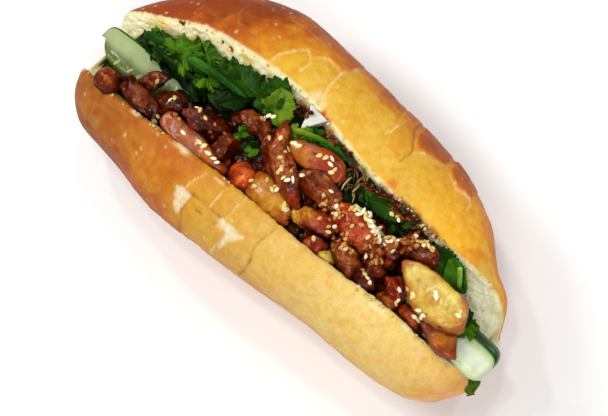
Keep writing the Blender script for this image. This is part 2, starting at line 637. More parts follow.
def make_bread():
    """Crust and crumb as one closed form with plates, cracks, torn edges and a porous inside."""
    even = np.linspace(-1, 1, BREAD_RINGS)
    sweep = math.pi / 2 * END_SWEEP
    t = END_CROWDING * np.sin(even * sweep) / math.sin(sweep) + (1 - END_CROWDING) * even
    outer = spaced(crust_lines, t, BREAD_AROUND, FINE_CRUST_HEIGHT)
    inner = spaced(crumb_lines, t, BREAD_AROUND, FINE_CRUMB_HEIGHT)
    stations = np.repeat(t[:, None], BREAD_AROUND, axis=1)
    crust_y, crust_z = crust_lines(stations, outer)
    crumb_y, crumb_z = crumb_lines(stations, inner)
    depth = np.minimum(crumb_z[:, -1:] - crumb_z, BULGE_DEPTH)
    crumb_y = crumb_y - curve(BULGE_STATION, BULGE, stations) * depth * step(inner, 0.5, 0.7)
    girth = girths(crust_y, crust_z)
    wall = girths(crumb_y, crumb_z)
    crust_points = section_points(stations, outer, crust_y, crust_z)
    crumb_points = section_points(stations, inner, crumb_y, crumb_z)
    points = np.concatenate([crust_points, crumb_points[:, ::-1]], axis=1)
    # Signed distance from the half's cut edge: positive out over the crust, negative down the crumb.
    low = np.concatenate([outer < 0.5, inner[:, ::-1] < 0.5], axis=1).ravel()
    crust_reach = np.minimum(girth, girth[:, -1:] - girth)
    crumb_reach = -np.minimum(wall, wall[:, -1:] - wall)[:, ::-1]
    g = np.concatenate([crust_reach, crumb_reach], axis=1).ravel()
    crust = np.tile(np.arange(2 * BREAD_AROUND) < BREAD_AROUND, BREAD_RINGS)
    station = np.repeat(stations, 2, axis=1).ravel()
    normals = grid_normals(points).reshape(-1, 3)
    flat = points.reshape(-1, 3)

    shape, tone, lines = crust_marks(flat, low, g)
    holes, crumb_shape = crumb_pores(flat, station, g)
    amount = np.where(crust, shape * step(g, -0.5, 1.5), crumb_shape)
    amount *= 1 - 0.85 * step(9 - flat[:, 2], 0, 8) * crust
    moved = flat + normals * amount[:, None] + torn_rim(flat, low, g)
    moved[:, 2] = np.maximum(moved[:, 2], 0.0)
    tint = bread_tints(flat, station, g, low, crust, tone, lines, holes)

    rings = moved.reshape(BREAD_RINGS, 2 * BREAD_AROUND, 3)
    tints = tint.reshape(BREAD_RINGS, 2 * BREAD_AROUND, 3)
    rings, tints = close_ends(rings, tints)
    mesh = tube_mesh("bread", rings - CENTRE, tints, BREAD_AROUND)
    piece = add_piece("bread", mesh, CRUST_LOOK, "crust", "bread_roll")
    mesh.materials.append(CRUMB_LOOK)
    mesh.polygons.foreach_set("material_index", crumb_faces(len(mesh.polygons)))
    mesh.update()
    return piece


def torn_rim(flat, low, g):
    """How the cut edge is moved where it is torn; its crust and its crumb rise and fall together."""
    rim = 1 - step(np.abs(g), 0.5, 3.2)
    torn = 0.5 * rough(flat * np.array((1, 0.2, 0.2)), 5, 3, 71) + 0.5 * rough(flat, 1.6, 2, 73)
    torn += 0.5 * step(lumps(flat * np.array((1, 0, 0)), 6, 72), 0.35, 0.8)
    across = rim * (0.35 + 0.4 * lumps(flat, 1.8, 74)) * torn * np.where(low, 1, -1)
    sunk = 0.9 * low * step(-g, 0.0, 2.2) * (1 - step(-g, 4, 8))
    return np.stack([np.zeros(len(flat)), across, 0.8 * rim * torn - sunk], axis=1)


def crust_marks(flat, low, g):
    """Relief of the crust in mm, how much darker each place is baked, and its cracks with their colours."""
    x, across = plan_of(flat - CENTRE)
    x = x + 0.9 * lumps(flat, 7, 3) + 0.35 * lumps(flat, 2.2, 5)
    across = across + 0.9 * lumps(flat, 7, 4) + 0.35 * lumps(flat, 2.2, 6)
    near, second, plate = cells((flat + 3.2 * lumps(flat, 11, 7)[:, None]) * np.array((0.8, 1, 1)), 17, 21)
    border = second - near
    far = step(g, 24, 42)
    high = step(flat[:, 2], 34, 48)
    shape = 0.7 * lumps(flat, 34, 8) + 0.22 * lumps(flat, 9, 9) + 0.07 * rough(flat, 2.4, 2, 51)
    shape += far * (0.4 * (plate - 0.5) - 0.2 * (1 - step(border, 0.0, 0.08)))
    pale_border = (1 - step(border, 0.0, 0.06)) * step(lumps(flat, 9, 58), -0.3, 0.3)
    tone = far * (0.16 * (plate - 0.5) - 0.1 * pale_border)
    for corners, darker, height in PLATES:
        half = high * (low if corners[0][1] < LOW_PLATES else ~low)
        depth = inside_of(x, across, corners)
        shape += height * step(depth, -0.5, 0.6) * half
        shade = step(depth, -0.5, 0.5) * (0.75 + 0.25 * step(depth, 0, 6)) * (1 - 0.75 * step(g, 34, 50))
        tone += darker * shade * half * (1 + 0.3 * lumps(flat, 6, 57))
    near, second, _ = cells((flat + 2.0 * lumps(flat, 6, 59)[:, None]) * np.array((0.9, 1, 1)), 13, 31)
    hair = (1 - step(second - near, 0.01, 0.05)) * step(lumps(flat, 12, 60), -0.1, 0.5) * step(g, 4, 9)
    shape -= 0.06 * hair
    blister, _, chance = cells(flat, 5.0, 41)
    spots = (chance > 0.55) * (1 - step(blister, 0.08, 0.22))
    shape += 0.2 * spots
    lines = [(0.5 * spots, CRACK_PALE), (0.09 * hair, CRACK_PALE)]
    for points, deep, half_width, colour in CRACKS:
        half = high * (low if points[-1][1] < 0 else ~low)
        distance = line_distance(x, across, points) * (1 + 0.25 * lumps(flat, 3, 52))
        cut = (1 - step(distance, 0.3 * half_width, half_width + 0.35)) * half
        shape -= deep * cut
        lines.append((0.7 * cut * (0.35 + 0.65 * step(lumps(flat, 4, 55), -0.5, 0.3)), colour))
    for corners, strength in SCARS:
        depth = inside_of(x, across, corners) + 0.7 * rough(flat, 2.5, 3, 91)
        floury = step(depth, -0.6, 0.8) * high * (low if corners[0][1] < 0 else ~low)
        shape -= 0.25 * floury
        lines.append((strength * floury * (0.8 + 0.2 * lumps(flat, 1.2, 53)), FLOUR))
    return shape, tone, lines


def crumb_pores(flat, station, g):
    """How open the crumb is at each point, and its relief in mm."""
    pore, _, pore_size = cells(flat, 4.2, 61)
    fine_pore, _, fine_size = cells(flat, 2.0, 62)
    holes = (1 - step(pore, 0.15, 0.42)) * step(pore_size, 0.5, 0.9)
    fine_holes = (1 - step(fine_pore, 0.2, 0.5)) * step(fine_size, 0.3, 0.8)
    shape = 0.8 * rough(flat, 9, 3, 63) - 1.1 * holes - 0.6 * fine_holes + 0.25 * lumps(flat, 1.3, 64)
    return 0.7 * holes + 0.5 * fine_holes, shape * step(-g, 0.0, 2.0) * (1 - step(np.abs(station), 0.97, 1.0))


def bread_tints(flat, station, g, low, crust, tone, lines, holes):
    """Linear colour of each point of the bread."""
    bake = bake_of(station, g, low, flat) + tone
    bake += 0.06 * rough(flat, 16, 3, 81) + 0.07 * rough(flat, 3.0, 3, 82)
    crust_tint = ramp(BAKE_STEPS, BAKE_COLOURS, bake)
    dusty = low * step(flat[:, 0], -40, 40) * (0.16 + 0.08 * lumps(flat, 6, 84))
    crust_tint = blend(crust_tint, linear(FLOUR), dusty)
    low_hue = np.stack([np.interp(station, LOW_STATION, row) for row in LOW_TINT], axis=1)
    top_hue = np.stack([np.interp(station, TOP_STATION, row) for row in TOP_TINT], axis=1)
    crust_tint = crust_tint * np.where(low[:, None], low_hue, top_hue)
    for share, colour in lines:
        crust_tint = blend(crust_tint, linear(colour), share)
    crumb_tint = blend(linear(CRUMB), linear(CRUMB_PIT), holes)
    crumb_tint = blend(crumb_tint, linear(CRUMB_YELLOW), 0.4 * step(lumps(flat, 8, 92), 0.1, 0.7))
    fresh = np.where(flat[:, 0] > 0, 1.0, 0.4) * step(np.abs(flat[:, 0]), 62, 92)
    crumb_tint = blend(crumb_tint, linear(CRUMB_FRESH), fresh)
    soaked = 0.6 * step(-g, 16, 28) * (1 - step(np.abs(station), 0.6, 0.85))
    crumb_tint = blend(crumb_tint, linear(SAUCE), soaked)
    ragged = 0.7 * lumps(flat, 2.4, 93) + 0.5 * lumps(flat, 1.2, 97)
    rolled = low * (1 - step(-g + ragged, 0.9, 1.8))
    tint = np.where(crust[:, None], crust_tint, blend(crumb_tint, crust_tint, rolled))
    edge = 1 - step(np.abs(g + 0.5) + 0.8 * ragged, 0.4, 1.5)
    patchy = np.where(low, 0.7 * step(lumps(flat, 9, 96), 0.1, 0.5), 0.85)
    tint = blend(tint, linear(CRUMB), patchy * edge)
    x, across = plan_of(flat - CENTRE)
    for middle_x, middle_y, half_x, half_y, colour, strength in STAINS:
        distance = np.hypot((x - middle_x) / half_x, (across - middle_y) / half_y)
        distance += 0.4 * rough(flat, 2.6, 3, 94)
        half = low if middle_y < 0 else ~low
        tint = blend(tint, linear(colour), strength * (1 - step(distance, 0.4, 1.2)) * half)
    return tint


def crumb_faces(count):
    """Material number of each face of the bread: 0 crust, 1 crumb."""
    size = 2 * BREAD_AROUND
    faces = np.zeros(count, np.int32)
    wall = (BREAD_RINGS + 2 * CAP_RINGS - 1) * size
    faces[:wall] = np.arange(wall) % size >= BREAD_AROUND - 1
    return faces


def bake_of(station, g, low, points):
    """How far the crust is baked at each point."""
    levels = []
    for low_row, top_row in zip(BAKE_LOW, BAKE_TOP):
        low_bake = curve(BAKE_STATION, low_row, station)
        levels.append(np.where(low, low_bake, curve(BAKE_STATION, top_row, station)))
    cut, mid, out = levels
    place = g + 3.0 * lumps(points, 14, 83)
    bake = cut + (mid - cut) * step(place, 0, MID_GIRTH)
    return bake + (out - bake) * step(place, MID_GIRTH, OUT_GIRTH)


def close_ends(rings, tints):
    """Adds rings that draw crust and crumb together in a rounded end."""
    caps = []
    for end, sign in ((0, -1), (-1, 1)):
        ring = rings[end]
        mirror = ring[::-1]
        added = []
        for k in range(1, CAP_RINGS + 1):
            q = k / CAP_RINGS
            drawn = ring + (mirror - ring) / 2 * CAP_PULL * q
            drawn[:, 0] += sign * CAP_LENGTH * (1 - (1 - q) ** 2)
            added.append(drawn)
        caps.append(added)
    start = np.array(caps[0][::-1])
    finish = np.array(caps[1])
    shades = (np.repeat(tints[:1], CAP_RINGS, axis=0), np.repeat(tints[-1:], CAP_RINGS, axis=0))
    return np.concatenate([start, rings, finish]), np.concatenate([shades[0], tints, shades[1]])


def tube_mesh(name, rings, tints, half):
    """Closed mesh of a grid of rings whose second half mirrors the first."""
    count, size, _ = rings.shape
    faces = turned_over(ring_faces(count, size))
    for start, flip in ((0, False), ((count - 1) * size, True)):
        for j in range(half - 1):
            face = (start + j, start + size - 1 - j, start + size - 2 - j, start + j + 1)
            faces.append(face[::-1] if flip else face)
    return mesh_of(name, rings.reshape(-1, 3), faces, tints.reshape(-1, 3))


# ---------------------------------------------------------------- pork
# Colours of the glazed meat from its dark hollows to its light ridges.
GLAZE_DARK = ((26, 6, 2), (56, 16, 4), (92, 34, 8), (136, 66, 18))
GLAZE_BROWN = ((40, 8, 2), (86, 28, 4), (128, 54, 12), (166, 88, 28))
GLAZE_RED = ((48, 8, 2), (104, 26, 6), (158, 52, 16), (200, 96, 42))
GLAZE_ORANGE = ((56, 14, 2), (118, 46, 4), (162, 82, 12), (204, 130, 36))
GLAZE_BRIGHT = ((110, 24, 2), (184, 62, 8), (220, 112, 28), (236, 168, 92))
GLAZE_AMBER = ((76, 24, 2), (138, 74, 6), (180, 118, 20), (210, 168, 62))
GLAZE_GOLD = ((130, 70, 8), (190, 148, 40), (216, 192, 92), (236, 222, 144))
GLAZE_STEPS = (-1.0, -0.25, 0.35, 1.0)
RIM_LEAN = (104, 26, 6)
RIM_FATTY = (156, 62, 10)
# Cell and smoothing of a piece's mesh, and how far it swells before it is cut flat.
MEAT_VOXEL = 0.7
MEAT_SMOOTHING = 3
MEAT_SWELL = 1.7
# Knife and pan marks on a piece: how many, and how deep they bite as a share of its reach.
LEAN_FACETS = (15, 0.4)
SOFT_FACETS = (4, 0.22)
# Relief in mm of lean and of fatty meat: folds, fibres, lumps and fine roughness.
LEAN_RELIEF = (1.2, 0.7, 1.0, 0.5)
FATTY_RELIEF = (0.3, 0.12, 0.4, 0.2)
# How much of what lies beyond a flat side is pressed away.
PRESS = 0.92
# How strongly a piece narrows towards its left and its right end, or widens below 0; others narrow a little.
MEAT_TAPERS = {
    "pork_fat_slice_right": (0.45, 0.0), "pork_slab_end": (0.0, 0.3), "pork_fat_slice_back": (0.7, 0.1),
    "pork_strip_diagonal": (-0.3, 0.5), "pork_slab_back": (0.2, 0.5), "pork_fat_middle": (0.1, 0.4),
    "pork_strip_rising": (0.35, 0.0), "pork_low_left": (0.1, 0.3), "pork_chunk_red": (0.2, 0.25),
    "pork_end_knob": (0.0, 0.0), "pork_chunk_middle": (0.3, 0.5), "pork_low_middle": (0.0, 0.2),
}
# Flat sides: direction, and how far out they lie as a share of the piece's reach.
MEAT_FLATS = {
    "pork_fat_slice_right": (((0.0, -0.25, 0.97), 0.7), ((0.05, 0.98, 0.2), 0.85)),
    "pork_strip_diagonal": (((-0.9, 0.45, 0.0), 0.78),),
    "pork_slab_end": (((0.25, 0.05, 0.96), 0.45), ((-0.3, -0.95, 0.0), 0.7), ((0.75, 0.66, 0.0), 0.6)),
    "pork_fat_slice_back": (((0.1, -0.35, 0.93), 0.55),),
    "pork_slab_back": (((-0.2, -0.3, 0.93), 0.8),),
    "pork_low_middle": (((0.0, -0.2, 0.98), 0.6),),
    "pork_chunk_red": (((-0.3, -0.5, 0.81), 0.62),),
    "pork_chunk_right": (((0.3, -0.5, 0.81), 0.6),),
}
# Lean pieces that stay round.
MEAT_ROUND = ("pork_ball", "pork_end_knob")
# Pieces whose second colours lie at one end: -1 left or 1 right, and where they start on the way there
# from the piece's middle, as a share.
MEAT_ENDS = {
    "pork_strip_rising": (-1, 0.1), "pork_fat_slice_back": (1, -0.1),
    "pork_low_middle": (-1, 0.55), "pork_chunk_left": (1, 0.3), "pork_slab_right": (-1, 0.2),
}

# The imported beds: cell and smoothing of their mesh, dark and light colour.
BED_VOXEL = 1.05
BED_SMOOTHING = 2
PORK_BED = ((56, 12, 3), (112, 36, 8))

# Each piece's colours, those of the patches on it, and its material.
PORK = {
    "pork_chunk_red": (GLAZE_RED, GLAZE_BRIGHT, PORK_LOOK),
    "pork_fat_slice_right": (GLAZE_GOLD, GLAZE_GOLD, FAT_LOOK),
    "pork_chunk_right": (GLAZE_BROWN, GLAZE_ORANGE, PORK_LOOK),
    "pork_strip_diagonal": (GLAZE_BROWN, GLAZE_RED, PORK_LOOK),
    "pork_chunk_middle": (GLAZE_BROWN, GLAZE_AMBER, PORK_LOOK),
    "pork_slab_back": (GLAZE_DARK, GLAZE_BROWN, PORK_LOOK),
    "pork_fat_slice_back": (GLAZE_ORANGE, GLAZE_RED, FAT_LOOK),
    "pork_strip_rising": (GLAZE_RED, GLAZE_AMBER, PORK_LOOK),
    "pork_fat_middle": (GLAZE_AMBER, GLAZE_GOLD, FAT_LOOK),
    "pork_chunk_left": (GLAZE_DARK, GLAZE_BROWN, PORK_LOOK),
    "pork_chunk_left_small": (GLAZE_DARK, GLAZE_RED, PORK_LOOK),
    "pork_curl": (GLAZE_DARK, GLAZE_BROWN, PORK_LOOK),
    "pork_low_middle": (GLAZE_ORANGE, GLAZE_BRIGHT, FAT_LOOK),
    "pork_low_left": (GLAZE_DARK, GLAZE_DARK, PORK_LOOK),
    "pork_end_knob": (GLAZE_ORANGE, GLAZE_BROWN, PORK_LOOK),
    "pork_ball": (GLAZE_RED, GLAZE_BRIGHT, PORK_LOOK),
    "pork_slab_right": (GLAZE_ORANGE, GLAZE_AMBER, PORK_LOOK),
    "pork_bit_red_low": (GLAZE_RED, GLAZE_RED, PORK_LOOK),
    "pork_bit_fat_low": (GLAZE_GOLD, GLAZE_AMBER, FAT_LOOK),
    "pork_slab_end": (GLAZE_ORANGE, GLAZE_BROWN, FAT_LOOK),
    "pork_link": (GLAZE_BROWN, GLAZE_ORANGE, PORK_LOOK),
    "pork_bit_red_right": (GLAZE_RED, GLAZE_DARK, PORK_LOOK),
    "pork_dark_chunk": (GLAZE_RED, GLAZE_DARK, PORK_LOOK),
    "pork_back_left": (GLAZE_DARK, GLAZE_BROWN, PORK_LOOK),
    "pork_mince_middle": (GLAZE_DARK, GLAZE_BROWN, PORK_LOOK),
    "pork_bit_low_right": (GLAZE_RED, GLAZE_DARK, PORK_LOOK),
    "pork_bit_low_end": (GLAZE_BROWN, GLAZE_RED, PORK_LOOK),
    "pork_strip_low_end": (GLAZE_DARK, GLAZE_RED, PORK_LOOK),
    "mince_strip": (GLAZE_DARK, GLAZE_BROWN, PORK_LOOK),
}


def own_axes(points):
    """A piece's centre, and its long direction (towards +X), middle and short directions as rows."""
    centre = points.mean(axis=0)
    _, _, rows = np.linalg.svd(points - centre, full_matrices=False)
    rows[0] *= math.copysign(1, rows[0][0])
    return centre, rows


def clipped(points, direction, share):
    """Presses a form flat beyond a share of its reach in one direction."""
    direction = np.asarray(direction) / np.linalg.norm(direction)
    reach = points @ direction
    return points - np.maximum(reach - share * reach.max(), 0)[:, None] * PRESS * direction


def faceted(local, count, bite, seed):
    """Flattens a rounded form here and there, as a knife and the pan leave it."""
    half = np.abs(local).max(axis=0)
    spread = np.random.default_rng(seed)
    for _ in range(count):
        local = clipped(local, spread.normal(size=3) / half, 1 - bite * spread.uniform(0.4, 1.3))
    return local


def tapered(local, left, right):
    """Narrows a form towards its ends along its first direction."""
    s = local[:, 0] / np.abs(local[:, 0]).max()
    share = np.where(s < 0, left, right) * np.abs(s) ** 1.7
    return local * np.stack([np.ones(len(s)), 1 - share, 1 - 0.6 * share], axis=1)


def plan_share(points):
    """0 in the middle of a piece seen from above, 1 at its outline."""
    flat = points[:, :2] - points[:, :2].mean(axis=0)
    spread = np.linalg.inv(np.cov(flat.T))
    distance = np.sqrt(np.einsum("ni,ij,nj->n", flat, spread, flat))
    return distance / distance.max()


def make_pork(node, glaze, patches, look, seed):
    """One piece of meat: cut flats, folds along its grain and lumps; darker and redder at its rim."""
    fatty = look is FAT_LOOK
    mesh = fine_copy(node, MEAT_VOXEL, MEAT_SMOOTHING)
    points, normals = corners_of(mesh)
    centre, rows = own_axes(points)
    spread = np.random.default_rng(seed + 50)
    left, right = MEAT_TAPERS.get(node, spread.uniform(0.0, 0.4, 2))
    local = tapered((points + normals * MEAT_SWELL - centre) @ rows.T, left, right)
    soft = fatty or node in MEAT_ROUND
    local = faceted(local, *(SOFT_FACETS if soft else LEAN_FACETS), seed)
    for direction, share in MEAT_FLATS.get(node, ()):
        local = clipped(local, rows @ direction, share)
    move_corners(mesh, local @ rows + centre)
    points, normals = corners_of(mesh)
    grain = local * np.array((0.3, 1.0, 1.0)) + 1.6 * lumps(local, 6, seed + 9)[:, None]
    fold = 1 - np.abs(lumps(grain, 4.2, seed))
    fibre = 1 - np.abs(lumps(grain, 1.7, seed + 8))
    folds, fibres, swells, fine = FATTY_RELIEF if fatty else LEAN_RELIEF
    bump = folds * (fold - 0.6) + fibres * (fibre - 0.6)
    bump += swells * lumps(local, 7, seed + 1)
    bump += fine * rough(local, 2.4, 2, seed + 2)
    move_corners(mesh, points + normals * bump[:, None])
    rim = plan_share(points)
    tone = (0.35 if fatty else 0.6) * lumps(local, 12, seed + 3)
    tone += 0.35 * lumps(local, 5, seed + 6) + 0.3 * rough(local, 1.5, 2, seed + 12)
    tone += 0.4 * bump + 0.5 * (normals[:, 2] - 0.6) + 0.6 * (0.5 - rim)
    patchy = lumps(local, 10, seed + 7) + 0.4 * lumps(local, 4, seed + 10)
    if node in MEAT_ENDS:
        side, start = MEAT_ENDS[node]
        patchy = side * local[:, 0] / np.abs(local[:, 0]).max() - start + 0.3 * lumps(local, 4, seed + 10)
    patchy = step(patchy, 0.0, 0.4)
    tint = blend(ramp(GLAZE_STEPS, glaze, tone), ramp(GLAZE_STEPS, patches, tone), patchy)
    rimmed = 0.8 * step(rim + 0.15 * lumps(local, 5, seed + 4), 0.62, 0.92)
    tint = blend(tint, linear(RIM_FATTY if fatty else RIM_LEAN), rimmed)
    tint = blend(tint, linear(SAUCE), 0.85 * step(-normals[:, 2], -0.4, 0.3))
    tint = blend(tint, linear(CHAR), 0.9 * step(lumps(local, 2.6, seed + 5), 0.76, 0.86))
    paint(mesh, tint)
    return add_piece(node + "_meat", mesh, look, slot_of(node), node)


def slot_of(node):
    """The record's material slot of a CAD node."""
    for part in frame["record"]["subparts"]:
        if part["node"] == node:
            return part["material_slot"]


def make_bed(node, dark, light, look, chunk, seed):
    """Packed filling below the visible pieces: chunks of the given size with deep gaps between them."""
    mesh = fine_copy(node, BED_VOXEL, BED_SMOOTHING)
    points, normals = corners_of(mesh)
    bent = points + 2.0 * np.stack([lumps(points, 6, seed + k) for k in range(3)], axis=1)
    near, second, own = cells(bent, chunk, seed + 5)
    top = step(points[:, 2], 42, 52)
    bump = 1.1 + top * (2.0 * (1 - near ** 2) * (0.3 + own) - 0.8) + 0.4 * rough(points, 3, 2, seed + 6)
    move_corners(mesh, points + normals * bump[:, None])
    tint = blend(linear(dark), linear(light), own * step(second - near, 0.02, 0.4))
    paint(mesh, tint)
    return add_piece(node + "_packed", mesh, look, slot_of(node), node)


# ---------------------------------------------------------------- herbs
LEAF_DARK = (22, 50, 2)
LEAF_MID = (40, 80, 2)
LEAF_BRIGHT = (74, 116, 8)
LEAF_YELLOW = (134, 156, 30)
STEM_PALE = (150, 184, 90)
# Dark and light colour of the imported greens, then of leaves.
GREENS_BED = ((14, 28, 3), (40, 72, 8))
DEEP = (LEAF_DARK, LEAF_MID)
FRESH = (LEAF_MID, LEAF_BRIGHT)
LIGHT = ((40, 76, 5), (110, 136, 22))
SHADE = ((12, 26, 2), LEAF_DARK)
# A blade's teeth, the steepness of its halves, how far its tip curls down and how deep it ripples.
BLADE = {"teeth": 11, "fold": 0.4, "curl": 0.12, "ripple": 1.2}
LEAF_THICKNESS = 0.3
FAN_THICKNESS = 0.25


def sheet_faces(rows, columns):
    """Faces of a thin sheet: a grid of points, the same grid below it, and the rim that joins them."""
    below = rows * columns
    faces = []
    for i in range(rows - 1):
        for j in range(columns - 1):
            a = i * columns + j
            faces.append((a, a + columns, a + columns + 1, a + 1))
            faces.append((below + a, below + a + 1, below + a + columns + 1, below + a + columns))
    rim = [i * columns for i in range(rows)]
    rim += [(rows - 1) * columns + j for j in range(1, columns)]
    rim += [i * columns + columns - 1 for i in range(rows - 2, -1, -1)]
    rim += list(range(columns - 2, 0, -1))
    for a, b in zip(rim, rim[1:] + rim[:1]):
        faces.append((b, a, below + a, below + b))
    return faces


def leaf_form(length, width, lobes, teeth, fold, curl, ripple, seed, rows=42, columns=15):
    """Leaf as points with x along the midrib, a vein pattern for each point, and faces."""
    s = np.repeat(np.linspace(0, 1, rows)[:, None], columns, axis=1)
    q = np.repeat(np.linspace(-1, 1, columns)[None, :], rows, axis=0)
    body = np.sin(math.pi * s ** 0.75) ** 0.7
    wave = 1 + 0.15 * np.cos(2 * math.pi * lobes * (s - 0.12 * (q > 0)) + seed) * (lobes > 0)
    tooth = 1 + 0.2 * np.abs((s * teeth + 0.3 * (q > 0)) % 1 - 0.5) * 2
    half = width / 2 * body * wave * tooth + 0.25
    x = length * (s + 0.16 * np.abs(q) * body * (1 - s))
    y = q * half
    z = fold * np.abs(y) - curl * (x / length) ** 2 * length
    z += ripple * q ** 2 * np.sin(9 * s + 2.5 * q + seed)
    top = np.stack([x, y, z], axis=2).reshape(-1, 3)
    side_vein = np.abs(((s - 0.2 * np.abs(q)) * 9) % 1 - 0.5) * 2
    vein = np.maximum(1 - np.abs(q) * 7, 0.55 * (1 - step(side_vein, 0.0, 0.3)))
    points = np.concatenate([top, top - np.array((0, 0, LEAF_THICKNESS))])
    return points, np.concatenate([vein.ravel(), vein.ravel()]), sheet_faces(rows, columns)


def tube_faces(count, sides):
    """Faces of a tube of rings with a face at each end."""
    faces = ring_faces(count, sides)
    faces.append(tuple(range(sides)))
    faces.append(tuple((count - 1) * sides + k for k in reversed(range(sides))))
    return faces


def tube_form(line, radii, sides):
    """Closed tube through points with a radius at each."""
    line = np.asarray(line, float)
    run = np.gradient(line, axis=0)
    points = []
    for p, d, r in zip(line, run, radii):
        side = np.cross(d, (0, 0, 1.0))
        side /= max(np.linalg.norm(side), 1e-6)
        up = np.cross(side, d)
        up /= max(np.linalg.norm(up), 1e-6)
        for k in range(sides):
            a = 2 * math.pi * k / sides
            points.append(p + r * (side * math.cos(a) + up * math.sin(a)))
    return np.array(points), tube_faces(len(line), sides)


def fan_form(size, lobes, seed, spokes=57, rings=10):
    """Coriander leaf: a fan of rounded, toothed lobes from the stalk, with veins, as leaf_form gives it."""
    a = np.repeat(np.linspace(-1, 1, spokes)[:, None], rings, axis=1)
    q = np.repeat(np.linspace(0.04, 1, rings)[None, :], spokes, axis=0)
    angle = a * 2.3
    lobe = 1 - (1 - np.abs(np.cos(lobes * math.pi / 2 * a))) ** 2.4
    scallop = 1 - 0.17 * (1 - np.abs(np.sin(lobes * math.pi * 1.7 * a + seed))) * q ** 2
    uneven = 1 + 0.14 * np.sin(2.2 * angle + seed) + 0.1 * np.sin(5.3 * angle + 2 * seed)
    reach = size * (0.55 + 0.45 * lobe * q ** 0.3) * scallop * uneven * (1 - 0.2 * a ** 2) * q
    flat = np.stack([reach * np.cos(angle) - 0.3 * size, reach * np.sin(angle), 0 * q], axis=2).reshape(-1, 3)
    place = flat / size
    crumple = rough(place, 0.5, 2, seed) * 0.16 + 0.05 * lumps(place, 0.16, seed + 3)
    frill = 0.07 * q ** 2 * np.sin(lobes * 6.3 * a + seed)
    top = flat + size * np.stack([0.08 * lumps(place, 0.4, seed + 1), 0.08 * lumps(place, 0.4, seed + 2),
                                  crumple + (frill - 0.12 * q ** 2 + 0.03 * lobe * q).ravel()], axis=1)
    side_vein = (np.abs(np.cos(lobes * math.pi * 1.5 * a)) > 0.97) * (q > 0.35)
    vein = (lobe > 0.995) * (1 - 0.5 * q) + 0.35 * side_vein
    points = np.concatenate([top, top - np.array((0, 0, FAN_THICKNESS))])
    return points, np.concatenate([vein.ravel(), vein.ravel()]), turned_over(sheet_faces(spokes, rings))


def add_leaf(heap, place, turn, length, width, colours, seed, lobes=0):
    """Puts one leaf on a heap, its middle at the given place.

    Above 0, lobes counts those of a fan; 0 or less makes a toothed blade with as many waves along it.
    """
    if lobes > 0:
        points, vein, faces = fan_form(length * 0.62, lobes, seed)
        points[:, 1] *= width / length * 1.15
    else:
        points, vein, faces = leaf_form(length, width, -lobes, seed=seed, **BLADE)
        points = points - np.array((length * 0.5, 0, 0))
    dark, light = colours
    tint = blend(linear(dark), linear(light), 0.45 + 0.5 * rough(points, 5, 2, seed))
    tint = blend(tint, linear(light) * 1.5, 0.35 * vein)
    heap.add(placed(points, place, turn), faces, tint)


def middle_of(node):
    """Centre and size of a node's box, in mm."""
    low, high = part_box(node)
    low = np.array(low) / MM
    high = np.array(high) / MM
    return (low + high) / 2, high - low


def part_way(node, fx, fy, fz):
    """Point of a node's box by shares of its sides."""
    centre, size = middle_of(node)
    return centre + size * (np.array((fx, fy, fz)) - 0.5)


